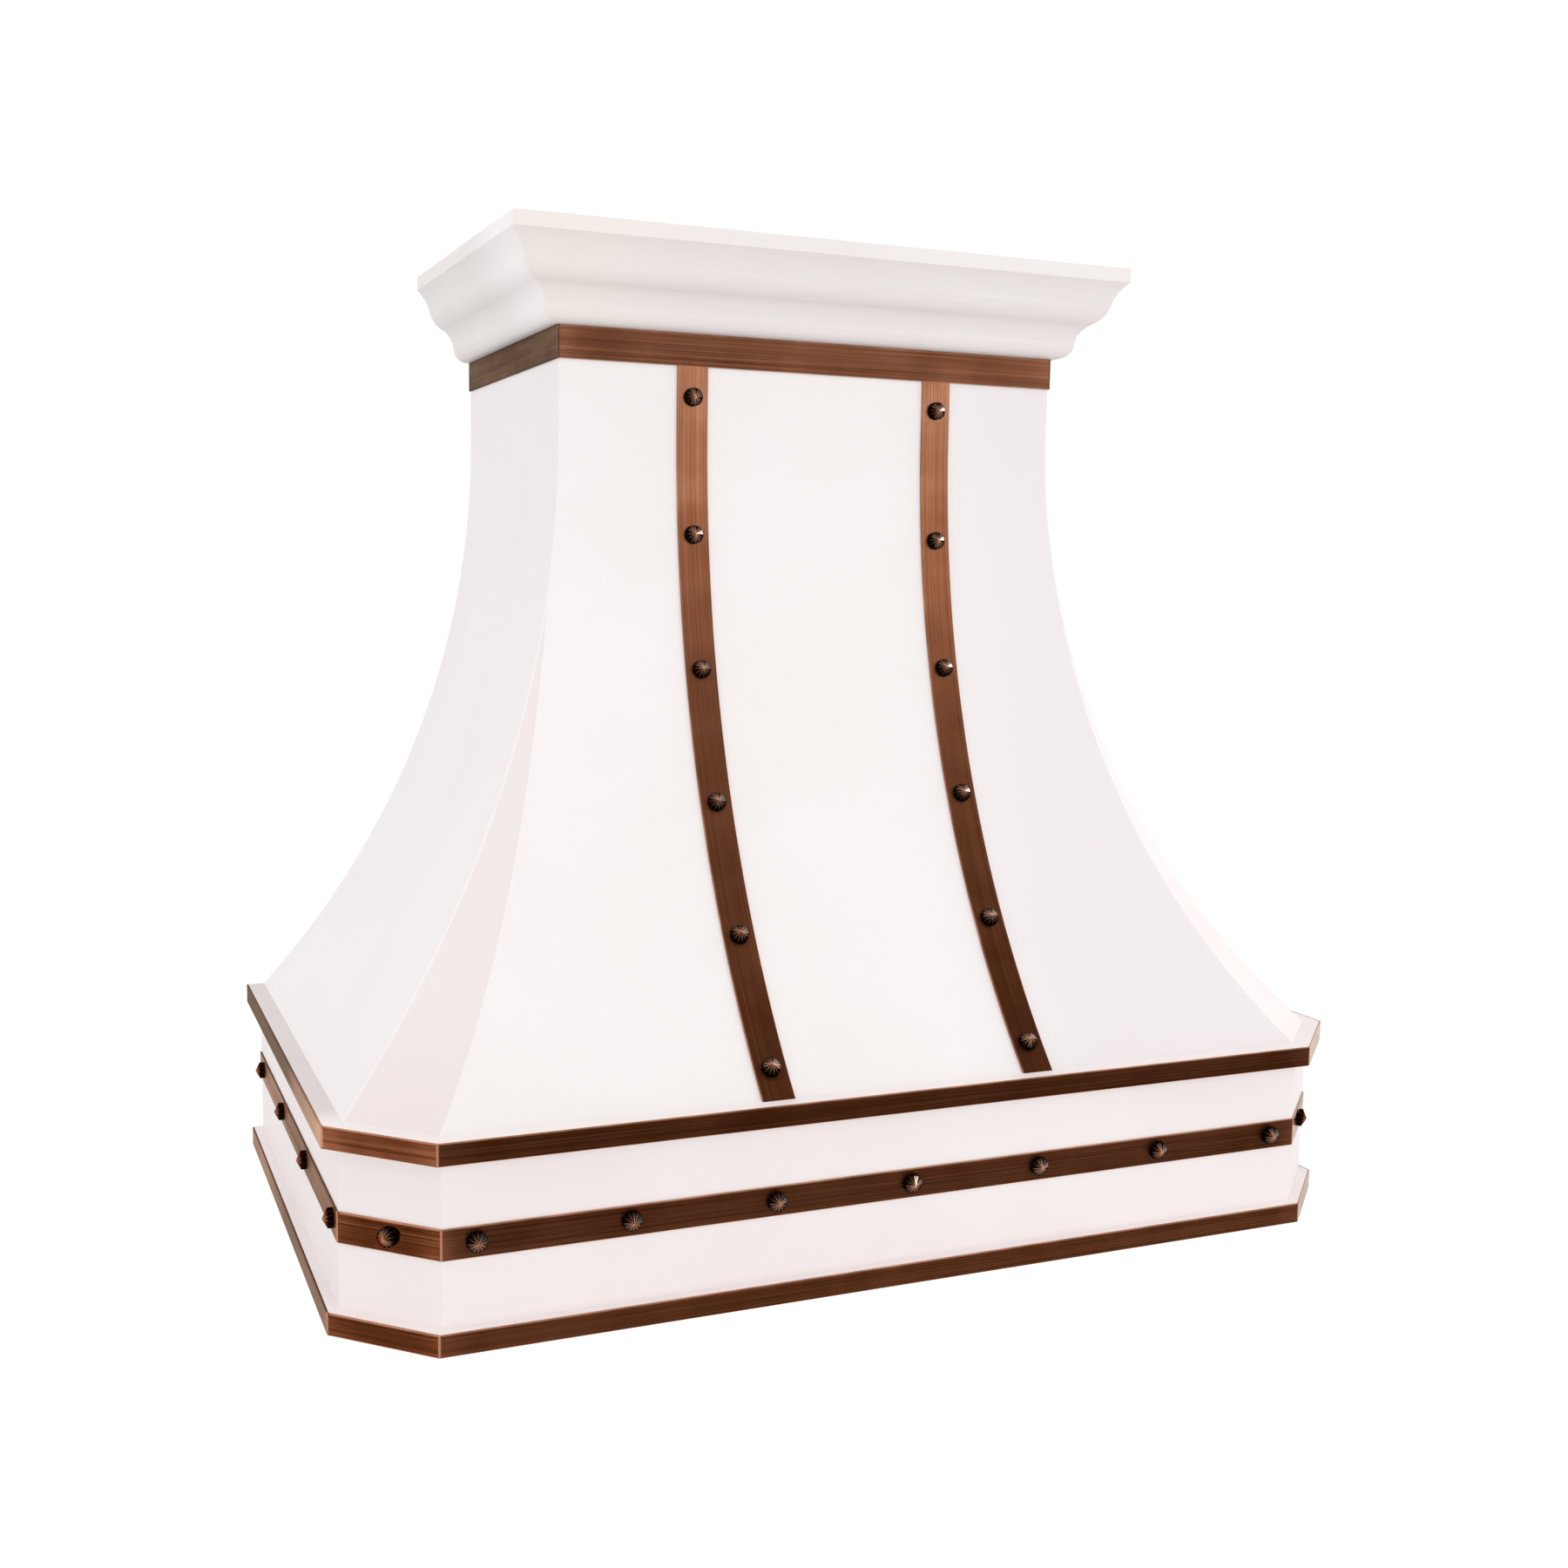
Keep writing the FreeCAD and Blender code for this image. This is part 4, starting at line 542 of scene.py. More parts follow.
def band_copper(name, copper, tone, dull, shine, turned_shade, fore_sheen, rear):
    """Streaks run round the hood. Folds and edges are rubbed brighter, partly as wear and partly as
    painted highlight, and the sides are dull, partly as painted reflection.
    """
    finish, streaks, cloud = copper_board("aged_copper_" + name, copper, (400, 400, 1), 0.52)
    low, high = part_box(name)
    x, y, z = finish.place()
    if name == "neck_band":
        cut = 0.0
        near = plan_distance(x, y, (high.x, low.y))
    else:
        cut = CORNER_CUT + (high.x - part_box("apron_wall")[1].x) * (2 - math.sqrt(2))
        near = plan_distance(x, y, (high.x - cut, low.y))
        near = near.lower(plan_distance(x, y, (high.x, low.y + cut)))
    turned = finish.spread(abs(x), high.x - cut - 0.001, high.x - cut + 0.001)
    edge = (2 * (z - low.z)).lower(high.z - z)
    # Painted highlight: brighter copper beside each fold, more on the front side than on the corner
    glow = finish.spread(near, 0.0, copper.glow, 1.0, 0.0)
    line = finish.spread(near, 0.0006, 0.0026, 1.0, 0.0)
    rim = finish.spread(edge, copper.rub * 0.3, copper.rub, 1.0, 0.0)
    side = finish.spread(abs(x), high.x - 0.0025, high.x - 0.0008)
    # The bright lines along the edges and folds are partly wear and partly painted highlight, and
    # rubbed also carries the painted glow beside the folds
    rubbed = (0.85 * line).higher(rim * (0.50 + 0.5 * cloud) * (1 - 0.8 * side))
    rubbed = rubbed.higher(glow * (1 - 0.6 * turned) * shine * (0.5 + cloud))
    # The film on the sides is partly painted reflection
    if cut:
        film = side * finish.spread(y, low.y, low.y + 0.25, 0.0, dull)
    else:
        film = 0.25 + side * (dull - 0.25)
    # Painted shade: the tone is shifted on the corners and sides, mostly darker, and the glow adds
    # painted highlight near the folds
    tone = tone + streaks * (1 + 0.4 * turned) + 0.12 * glow + turned_shade * turned
    # Painted light and shade along the sides: the tone changes towards their rear ends and rises
    # near their front ends, and a dark line along their edges is painted shadow
    along = finish.spread(y, low.y + 0.1, -0.05, 0.0, rear)
    along = along + finish.spread(y, -0.42, -0.33, fore_sheen, 0.0)
    tone = tone + side * (along - 0.35 * rim)
    return colour_copper(finish, copper, tone, rubbed, film, turned - side)


def strap_copper(copper):
    """Streaks run down the strap. Painted light makes it brighter at the top than at the foot."""
    finish, streaks, cloud = copper_board("aged_copper_straps", copper, (1, 500, 500), 0.34)
    low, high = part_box("right_strap")
    x, _, z = finish.place()
    edge = (high.x - low.x) / 2 - abs(abs(x) - (low.x + high.x) / 2)
    # The bright lines along the strap's edges are partly wear and partly painted highlight
    rim = finish.spread(edge, 0.0, copper.rub * 0.6, 1.0, 0.0)
    # Painted light and shade: the tone rises towards the top, dips at the foot, and is a little
    # higher on the left strap
    tone = finish.spread(z, low.z - 0.05, high.z - 0.02, 0.36, 0.68)
    tone = tone + finish.spread(z, high.z - 0.14, high.z, 0.0, 0.05)
    tone = tone - finish.spread(z, low.z + 0.04, low.z + 0.12, 0.08, 0.0)
    tone = tone + finish.spread(x, -0.05, 0.05, 0.02, 0.0)
    return colour_copper(finish, copper, tone + streaks, rim * (0.40 + 0.6 * cloud), 0.08)


class HOOD_OT_age_copper(bpy.types.Operator):
    """Aged, brushed copper on the bands and the straps"""

    bl_idname = "hood.age_copper"
    bl_label = "Age the copper"

    def execute(self, context):
        copper = context.scene.hood_copper
        for name, finish in BANDS.items():
            dress(band_copper(name, copper, **finish), name)
        dress(strap_copper(copper), *STRAPS)
        soften(copper.edge, *BANDS)
        return {"FINISHED"}


# Studs
def stud_bronze(studs):
    """Dark facets, with the copper rubbed through along the ridges and at the tip."""
    finish = Finish("oiled_bronze", Specular_Tint=(0.42, 0.20, 0.13, 1.0),
                    Coat_Roughness=0.05, Coat_IOR=2.2)
    chart = finish.add("ShaderNodeUVMap", {"uv_map": "face_on"})
    u = finish.add("ShaderNodeSeparateXYZ", values={0: chart})
    across = u * 2 - 1
    along = u.output("Y") * 2 - 1
    reach = (across * across + along * along).root()
    turn = across.math("ARCTAN2", along, across) * (STUD_SIDES / math.tau) + 0.5
    off_ridge = abs(turn.fraction() - 0.5) * reach * (math.pi / STUD_SIDES * studs.width)
    grime = finish.noise(finish.stretched(0.004), 3, 0.6)
    ridge = finish.spread(off_ridge, studs.ridge_width * 0.15, studs.ridge_width * 0.6, 1.0, 0.0)
    rubbed = ridge * finish.spread(reach, 0.35, 0.98, 1.0, 0.12)
    rubbed = rubbed * finish.spread(grime, 0.25, 0.6, 0.35, 1.0)
    rubbed = rubbed.higher(finish.spread(reach, 0.03, 0.13, 0.8, 0.0))
    # Painted light: the corner and side studs get the lighter bronze, and the coat that makes
    # glints lies only on the front studs' upper right facets, which face the right light
    front_studs = finish.spread(abs(finish.place()[X]), 0.44, 0.46, 1.0, 0.1)
    foot = finish.spread(reach + 0.3 * (grime - 0.5), 0.45, 0.95)
    facets = finish.blend(foot, finish.blend(front_studs, studs.bronze_painted_light, studs.bronze), studs.rim)
    finish.feed("Base Color", finish.blend(rubbed, facets, studs.ridge))
    finish.feed("Metallic", 1 - 0.6 * rubbed)
    side = finish.spread(reach, 0.86, 0.95)
    glint = math.radians(30)
    lean = (across * math.cos(glint) + along * math.sin(glint)) / reach
    finish.feed("Coat Weight", finish.spread(lean, 0.80, 0.92, 0.10, 1.0) * (1 - side) * front_studs)
    finish.feed("Roughness", 0.07 + 0.07 * grime + 0.45 * side)
    finish.relief(grime, 0.00001)
    return finish


def stud_places(name, limit):
    """Each stud's tip, from its short edges, and the way it points, from its middle."""
    shape = bmesh.new()
    shape.from_mesh(NODES[name].data)
    bmesh.ops.remove_doubles(shape, verts=shape.verts[:], dist=TOUCHING)
    left = set(shape.verts)
    places = []
    while left:
        heap = [left.pop()]
        island = set(heap)
        while heap:
            for line in heap.pop().link_edges:
                fresh = left.intersection(line.verts)
                left -= fresh
                island |= fresh
                heap.extend(fresh)
        point = {vert for vert in island for line in vert.link_edges if line.calc_length() < limit}
        if not point:
            raise RuntimeError(f"{name} has a stud without a tip")
        tip = sum((vert.co for vert in point), Vector()) / len(point)
        middle = sum((vert.co for vert in island), Vector()) / len(island)
        places.append((tip, (tip - middle).normalized()))
    shape.free()
    return places


def stud_heads(name, studs):
    """Stud heads with a straight rim and a faceted point, charted face-on in a UV map."""
    height = studs.base + studs.point

    def fill(shape):
        chart = shape.loops.layers.uv.new("face_on")
        shoulder = raise_faces(shape, disc(shape, STUD_SIDES, studs.width), studs.base)
        raise_faces(shape, shoulder, studs.point, studs.tip / studs.width)
        brow = [line for line in shape.edges
                if all(abs(vert.co.z - studs.base) < LEVEL for vert in line.verts)]
        round_edges(shape, brow, studs.edge, 2)
        bmesh.ops.recalc_face_normals(shape, faces=shape.faces[:])
        for face in shape.faces:
            for corner in face.loops:
                corner[chart].uv = corner.vert.co.xy / studs.width + Vector((0.5, 0.5))
        places = [(tip - axis * height, axis) for tip, axis in stud_places(name, studs.tip * 0.3)]
        set_down(shape, places)
    return fill


class HOOD_OT_set_studs(bpy.types.Operator):
    """Twelve-sided bronze studs with ridges rubbed through to copper"""

    bl_idname = "hood.set_studs"
    bl_label = "Set the studs"

    def execute(self, context):
        studs = context.scene.hood_studs
        finish = stud_bronze(studs)
        for name in STUDS:
            heads = name[:-1] + "_heads"
            piece = make_piece(heads, stud_heads(name, studs), "hood", finish)
            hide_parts(name)
        return {"FINISHED"}


# Steel
def brushed_steel(name, steel, run):
    """Stainless with fine lines. Run gives a line's length along each axis, in line widths."""
    finish = Finish(name, Metallic=1.0)
    line = finish.noise(finish.stretched(*[steel.line * times for times in run]), 3, 0.6)
    smear = finish.noise(finish.stretched(0.05), 3)
    share = finish.spread(line * 0.7 + smear * 0.3, 0.32, 0.68)
    finish.feed("Base Color", finish.blend(share, steel.stainless_dark, steel.stainless))
    finish.feed("Roughness", 0.22 + 0.16 * line + 0.08 * smear)
    finish.relief(line, 0.00003)
    return finish


def turned_steel(steel):
    """Polished rings about each lamp's middle."""
    finish = Finish("turned_stainless", Metallic=1.0)
    low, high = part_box("lamps")
    reach = (high.y - low.y) / 2
    x, y, _ = finish.place()
    out = plan_distance(x, y, (high.x - reach, low.y + reach))
    ring = finish.noise(finish.add("ShaderNodeCombineXYZ", values={0: out / (steel.line * 0.6)}), 2)
    smear = finish.noise(finish.stretched(0.02), 3)
    finish.feed("Base Color", finish.blend(
        finish.spread(ring * 0.7 + smear * 0.3, 0.3, 0.7), steel.stainless, steel.polished))
    finish.feed("Roughness", 0.10 + 0.12 * ring + 0.06 * smear)
    finish.relief(ring, 0.00002)
    return finish


def zinc_coat(steel):
    """Spangles, whose crystals each lie their own way."""
    finish = Finish("zinc_coat", Metallic=1.0)
    point = finish.stretched(steel.spangle)
    crystal = finish.add("ShaderNodeTexVoronoi", values={"Vector": point, "Scale": 1.0},
                         output="Color")
    shade = finish.add("ShaderNodeSeparateColor", values={0: crystal})
    way = finish.add("ShaderNodeVectorMath", {"operation": "SCALE"},
                     {0: crystal, "Scale": math.tau})
    lie = finish.add("ShaderNodeVectorRotate", {"rotation_type": "EULER_XYZ"},
                     {"Vector": point, "Rotation": way})
    needle = finish.add("ShaderNodeVectorMath", {"operation": "MULTIPLY"},
                        {0: lie, 1: (0.8, 7, 7)})
    feather = finish.noise(needle, 3)
    dull = finish.noise(finish.stretched(0.09), 3)
    share = finish.spread(0.22 * shade + 0.45 * feather + 0.5 * dull, 0.35, 0.8)
    finish.feed("Base Color", finish.blend(share, steel.zinc_dark, steel.zinc))
    finish.feed("Roughness", 0.30 + 0.14 * shade.output("Green") + 0.10 * feather)
    finish.relief(feather * 0.5 + dull * 0.5, 0.00003)
    return finish


class HOOD_OT_brush_steel(bpy.types.Operator):
    """Brushed stainless on the liner, filters, lamps and control plate"""

    bl_idname = "hood.brush_steel"
    bl_label = "Brush the stainless"

    def execute(self, context):
        steel = context.scene.hood_steel
        across = brushed_steel("brushed_stainless_across", steel, (90, 1, 1))
        dress(across, "liner", "control_plate", "left_filter_handle", "right_filter_handle",
              "filter_brackets", "motor_shaft", "damper_pin")
        along = brushed_steel("brushed_stainless_along", steel, (1, 90, 1))
        dress(along, "left_filter", "right_filter", "left_filter_baffles", "right_filter_baffles")
        dress(turned_steel(steel), "lamps")
        dress(brushed_steel("turned_screws", steel, (8, 8, 1)), "liner_screws")
        soften(steel.edge, "control_plate", "left_filter_handle", "right_filter_handle",
               "left_filter", "right_filter")
        return {"FINISHED"}


class HOOD_OT_coat_zinc(bpy.types.Operator):
    """Spangled zinc on the back panel, the blower, the duct collar and the junction box"""

    bl_idname = "hood.coat_zinc"
    bl_label = "Coat with zinc"

    def execute(self, context):
        dress(zinc_coat(context.scene.hood_steel), "back_panel", "blower_scroll",
              "blower_left_side", "blower_right_side", "blower_wheel", "motor_bracket",
              "blower_rails", "collar_plate", "duct_collar", "front_damper_flap",
              "rear_damper_flap", "junction_box", "junction_box_cover")
        return {"FINISHED"}


def filter_rivets(name, fittings):
    """Domed rivets in the four corners of a filter's frame."""
    low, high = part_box(name)
    baffles_low, baffles_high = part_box(name + "_baffles")
    inset, lap = 0.0085, 0.019
    ends = (baffles_low.x - lap, baffles_high.x + lap)
    rows = (low.y + inset, high.y - inset)

    def fill(shape):
        top = raise_faces(shape, disc(shape, 16, fittings.rivet), 0.0004)
        dome = raise_faces(shape, top, 0.0004, 0.72)
        raise_faces(shape, dome, 0.0002, 0.4)
        bmesh.ops.recalc_face_normals(shape, faces=shape.faces[:])
        set_down(shape, [(Vector((x, y, low.z)), DOWN) for x in ends for y in rows])
    return fill


def sheet_screws(places, fittings):
    """Hexagon heads on round flanges."""
    def fill(shape):
        flange = raise_faces(shape, disc(shape, 24, fittings.screw), 0.0010, 0.94)
        seat = raise_faces(shape, flange, 0.0, 0.80)
        raise_faces(shape, seat, 0.0002, 0.98)
        bmesh.ops.recalc_face_normals(shape, faces=shape.faces[:])
        head = bmesh.ops.create_cone(
            shape, cap_ends=True, segments=6, radius1=fittings.screw * 0.34,
            radius2=fittings.screw * 0.32, depth=0.0028,
            matrix=Matrix.Translation((0, 0, 0.0026)))["verts"]
        tops = {line for vert in head for line in vert.link_edges
                if all(end.co.z > 0.003 for end in line.verts)}
        round_edges(shape, list(tops), 0.0004, 1)
        set_down(shape, places)
    return fill


class HOOD_OT_fit_fasteners(bpy.types.Operator):
    """Rivets on the filters and screws on the junction box cover and the collar plate"""

    bl_idname = "hood.fit_fasteners"
    bl_label = "Fit the fasteners"

    def execute(self, context):
        fittings = context.scene.hood_fittings
        finish = brushed_steel("turned_rivets", context.scene.hood_steel, (6, 6, 1))
        for name in ("left_filter", "right_filter"):
            make_piece(name + "_rivets", filter_rivets(name, fittings), name, finish)
        low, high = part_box("junction_box_cover")
        middle = (low.x + high.x) / 2
        inset = 0.008
        places = [(Vector((middle, low.y, z)), FORWARD) for z in (low.z + inset, high.z - inset)]
        low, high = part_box("collar_plate")
        inset = 0.012
        places += [(Vector((x, y, high.z)), UP) for x in (low.x + inset, high.x - inset)
                   for y in (low.y + inset, high.y - inset)]
        make_piece("sheet_screws", sheet_screws(places, fittings), "hood", finish)
        return {"FINISHED"}


def trim_strip(fittings):
    """A channel that closes the slot behind the liner, with its lips folded up."""
    low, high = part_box("liner")
    room = 0.0002
    front = high.y + room + fittings.trim
    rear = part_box("back_panel")[0].y - room - fittings.trim
    middle = Vector(((low.x + high.x) / 2, (front + rear) / 2, low.z + fittings.trim))
    size = (high.x - low.x - 2 * room, rear - front)

    def fill(shape):
        face, = bar(shape, middle, size)
        folds = [line for line in face.edges
                 if abs(line.verts[0].co.y - line.verts[1].co.y) < LEVEL]
        lips = bmesh.ops.extrude_edge_only(shape, edges=folds)["geom"]
        bmesh.ops.translate(shape, vec=(0, 0, fittings.lip), verts=verts_in(lips))
        round_edges(shape, folds, fittings.trim * 2, 3)
        bmesh.ops.recalc_face_normals(shape, faces=shape.faces[:])
        bmesh.ops.solidify(shape, geom=shape.faces[:], thickness=fittings.trim)
    return fill


class HOOD_OT_close_rear(bpy.types.Operator):
    """Stainless trim between the liner and the wall"""

    bl_idname = "hood.close_rear"
    bl_label = "Close the rear slot"

    def execute(self, context):
        finish = brushed_steel("brushed_trim", context.scene.hood_steel, (90, 1, 1))
        fill = trim_strip(context.scene.hood_fittings)
        make_piece("rear_trim", fill, "hood", finish)
        return {"FINISHED"}


# Lamps, controls, motor and wood
def lamp_glass(fittings):
    """Frosted glass with fine rings about each lamp's middle and its diodes showing through."""
    finish = Finish("frosted_glass", Specular_IOR_Level=0.6)
    low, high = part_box("lamp_lenses")
    reach = (high.y - low.y) / 2
    x, y, _ = finish.place()
    out = plan_distance(x, y, (high.x - reach, low.y + reach))
    rings = 0.5 + 0.5 * out.math("SINE", out * (math.tau / fittings.ring))
    frost = finish.noise(finish.stretched(0.0008), 3)
    place = finish.stretched(fittings.diode, fittings.diode, 1.0)
    dot = finish.add("ShaderNodeTexVoronoi",
                     values={"Vector": place, "Scale": 1.0, "Randomness": 0.0})
    diode = finish.spread(dot, 0.16, 0.34, 1.0, 0.0)
    diode = diode * finish.spread(out, reach * 0.72, reach * 0.78, 1.0, 0.0)
    share = finish.spread(out, reach * 0.70, reach * 0.98, 0.75, 0.10)
    share = share * (0.88 + 0.12 * rings) - 0.45 * diode
    finish.feed("Base Color", finish.blend(share, fittings.lens_dark, fittings.lens))
    finish.feed("Roughness", 0.16 + 0.20 * frost)
    finish.relief(rings * 0.8 + frost * 0.2, 0.0003)
    return finish


def grained_plastic(name, shade):
    finish = Finish(name, Specular_IOR_Level=0.4)
    grain = finish.noise(finish.stretched(0.0006), 2)
    dust_and_shade = finish.noise(finish.stretched(0.02), 3)
    light = [min(1.0, part * 1.35 + 0.004) for part in shade]
    share = finish.spread(grain * 0.5 + dust_and_shade * 0.5, 0.3, 0.7)
    finish.feed("Base Color", finish.blend(share, shade, light))
    finish.feed("Roughness", 0.46 + 0.16 * grain)
    finish.relief(grain, 0.00004)
    return finish


def motor_enamel(fittings):
    finish = Finish("dark_enamel", Specular_IOR_Level=0.5, Coat_Weight=0.2)
    dimple = finish.noise(finish.stretched(0.0028), 2)
    dust_and_shade = finish.noise(finish.stretched(0.03), 3)
    light = [part * 1.8 for part in fittings.enamel]
    share = finish.spread(dimple * 0.5 + dust_and_shade * 0.5, 0.3, 0.7)
    finish.feed("Base Color", finish.blend(share, fittings.enamel, light))
    finish.feed("Roughness", 0.30 + 0.20 * dimple)
    finish.relief(dimple, 0.00012)
    return finish


def sintered_bronze(fittings):
    finish = Finish("sintered_bronze", Metallic=1.0)
    pores = finish.noise(finish.stretched(0.0005), 3)
    dark = [part * 0.45 for part in fittings.bush]
    finish.feed("Base Color", finish.blend(finish.spread(pores, 0.35, 0.6), dark, fittings.bush))
    finish.feed("Roughness", 0.42 + 0.16 * pores)
    finish.relief(pores, 0.00004)
    return finish


def plywood(name, fittings, grain, thickness):
    """Plies across the thickness, which is an axis, and grain along the widths given."""
    finish = Finish(name, Specular_IOR_Level=0.25)
    across = finish.place()[thickness] / (2 * fittings.ply)
    layer = abs(across.fraction() - 0.5) * 2
    fibre = finish.noise(finish.stretched(*grain), 4, 0.6)
    figure = finish.noise(finish.stretched(*[width * 9 for width in grain]), 2)
    share = finish.spread(layer, 0.42, 0.58, 0.15, 0.0) + finish.spread(fibre, 0.35, 0.7, 0.0, 0.5)
    share = share + finish.spread(figure, 0.4, 0.65, 0.0, 0.35)
    finish.feed("Base Color", finish.blend(share, fittings.veneer, fittings.veneer_dark))
    finish.feed("Roughness", 0.58 + 0.2 * fibre)
    finish.relief(fibre, 0.00008)
    return finish


def flat_place(middle, size, turn):
    """Where a flat shape of unit size lies once it is stretched, turned and moved."""
    turned = Matrix.Translation(middle) @ Matrix.Rotation(turn, 4, "Z")
    return turned @ Matrix.Diagonal((*size, 1, 1))


def bar(shape, middle, size, turn=0.0):
    """A flat bar, as a list of its one face."""
    return faces_of(bmesh.ops.create_grid(
        shape, x_segments=1, y_segments=1, size=0.5, matrix=flat_place(middle, size, turn)))


def oval(shape, middle, size, turn=0.0):
    """A flat oval, as a list of its one face."""
    return faces_of(bmesh.ops.create_circle(
        shape, cap_ends=True, segments=20, radius=0.5, matrix=flat_place(middle, size, turn)))


def fan_sign(shape):
    faces = oval(shape, (0, 0, 0), (0.0018, 0.0018))
    for blade in range(3):
        turn = math.tau * blade / 3
        middle = Matrix.Rotation(turn, 4, "Z") @ Vector((0.0028, 0.0007, 0))
        faces += oval(shape, middle, (0.0042, 0.0022), turn + 0.35)
    return faces


def low_sign(shape):
    return bar(shape, (0, -0.0012, 0), (0.0050, 0.0011))


def high_sign(shape):
    faces = []
    for row, width in enumerate((0.0030, 0.0045, 0.0060)):
        faces += bar(shape, (0, -0.0021 + 0.0021 * row, 0), (width, 0.0011))
    return faces


def light_sign(shape):
    faces = oval(shape, (0, 0, 0), (0.0036, 0.0036))
    for ray in range(8):
        turn = math.tau * ray / 8
        middle = Matrix.Rotation(turn, 4, "Z") @ Vector((0.0034, 0, 0))
        faces += bar(shape, middle, (0.0016, 0.0006), turn)
    return faces


SIGNS = (fan_sign, low_sign, high_sign, light_sign)


def button_sign(name, draw, height):
    """A raised sign under a button."""
    low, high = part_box(name)
    foot = Vector(((low.x + high.x) / 2, (low.y + high.y) / 2, low.z))

    def fill(shape):
        raise_faces(shape, draw(shape), height)
        bmesh.ops.recalc_face_normals(shape, faces=shape.faces[:])
        set_down(shape, [(foot, DOWN)])
    return fill


class HOOD_OT_fit_lamps(bpy.types.Operator):
    """Frosted, ringed lenses in the lamps"""

    bl_idname = "hood.fit_lamps"
    bl_label = "Fit the lamps"

    def execute(self, context):
        dress(lamp_glass(context.scene.hood_fittings), "lamp_lenses")
        return {"FINISHED"}


class HOOD_OT_fit_controls(bpy.types.Operator):
    """Grained buttons with raised signs, and the switch box"""

    bl_idname = "hood.fit_controls"
    bl_label = "Fit the controls"

    def execute(self, context):
        fittings = context.scene.hood_fittings
        dress(grained_plastic("grained_black", fittings.plastic), *BUTTONS, "switch_box")
        soften(fittings.button_edge, *BUTTONS)
        finish = grained_plastic("pale_print", fittings.symbol)
        for name, draw in zip(BUTTONS, SIGNS):
            fill = button_sign(name, draw, fittings.raised)
            make_piece(name.replace("button", "sign"), fill, name, finish)
        return {"FINISHED"}


class HOOD_OT_fit_motor(bpy.types.Operator):
    """Enamel on the motor and bronze in its bushes"""

    bl_idname = "hood.fit_motor"
    bl_label = "Fit the motor"

    def execute(self, context):
        fittings = context.scene.hood_fittings
        dress(motor_enamel(fittings), "blower_motor")
        dress(sintered_bronze(fittings), "motor_bushes")
        return {"FINISHED"}


class HOOD_OT_grain_wood(bpy.types.Operator):
    """Bare plywood in the frame behind the sheets"""

    bl_idname = "hood.grain_wood"
    bl_label = "Grain the plywood"

    def execute(self, context):
        fittings = context.scene.hood_fittings
        dress(plywood("plywood_rail", fittings, (0.09, 0.004, 0.003), Y),
              "upper_wall_rail", "lower_wall_rail")
        dress(plywood("plywood_ring", fittings, (0.09, 0.003, 0.004), Z), "neck_frame")
        dress(plywood("plywood_rib", fittings, (0.004, 0.003, 0.09), X), "front_ribs")
        return {"FINISHED"}


# Stage
def soft_light(name, place, target, size, strength):
    lamp = bpy.data.lights.new(name, "AREA")
    lamp.shape = "RECTANGLE"
    lamp.size, lamp.size_y = size
    lamp.energy = strength
    light = bpy.data.objects.new(name, lamp)
    light.matrix_world = Matrix.Translation(place) @ (
        Vector(target) - Vector(place)).to_track_quat("-Z", "Y").to_matrix().to_4x4()
    bpy.context.scene.collection.objects.link(light)


def studio_world(scene):
    """White to the camera. Metal sees a white room behind the hood and a dim one in front of it."""
    scene.world = bpy.data.worlds.new("studio")
    scene.world.use_nodes = True
    board = Board(scene.world.node_tree)
    way = board.add("ShaderNodeTexCoord", output="Generated")
    side = board.add("ShaderNodeSeparateXYZ", values={0: way})
    seen = board.add("ShaderNodeLightPath", output="Is Camera Ray")
    sheen = seen.output("Is Glossy Ray").higher(seen.output("Is Transmission Ray"))
    dim = 0.14
    above = board.spread(side.output("Z"), 0.2, 0.7, dim, 0.40)
    room = board.spread(side.output("Y"), -0.55, 0.35, dim, 1.0).higher(above)
    ahead = side.output("Y") * -0.85 + side.output("Z") * -0.5
    fill = board.spread(ahead, -0.3, 0.9, 0.62, 1.15)
    other = sheen * room + (1 - sheen) * fill
    strength = seen + (1 - seen) * other
    light = board.add("ShaderNodeBackground", values={"Color": (1, 1, 1, 1), "Strength": strength})
    board.add("ShaderNodeOutputWorld", values={"Surface": light})


def studio_floor(depth):
    """A pale floor that keeps a faint shadow and is otherwise white."""
    mesh = bpy.data.meshes.new("floor")
    shape = bmesh.new()
    place = Matrix.Translation((0, 3.5, -depth)) @ Matrix.Diagonal((9, 7, 1, 1))
    bmesh.ops.create_grid(shape, x_segments=1, y_segments=1, size=1, matrix=place)
    shape.to_mesh(mesh)
    shape.free()
    material = bpy.data.materials.new("pale_floor")
    material.use_nodes = True
    board = Board(material.node_tree)
    path = board.add("ShaderNodeLightPath", output="Is Camera Ray")
    shown = path.higher(path.output("Is Glossy Ray")).higher(path.output("Is Transmission Ray"))
    matt = board.add("ShaderNodeBsdfDiffuse", values={"Color": (0.86, 0.86, 0.86, 1)})
    white = board.add("ShaderNodeEmission", values={"Color": (1, 1, 1, 1), "Strength": 1.05})
    mixed = board.add("ShaderNodeMixShader", values={0: shown * 0.94, 1: matt, 2: white})
    board.add("ShaderNodeOutputMaterial", values={"Surface": mixed})
    mesh.materials.append(material)
    floor = bpy.data.objects.new("floor", mesh)
    bpy.context.scene.collection.objects.link(floor)


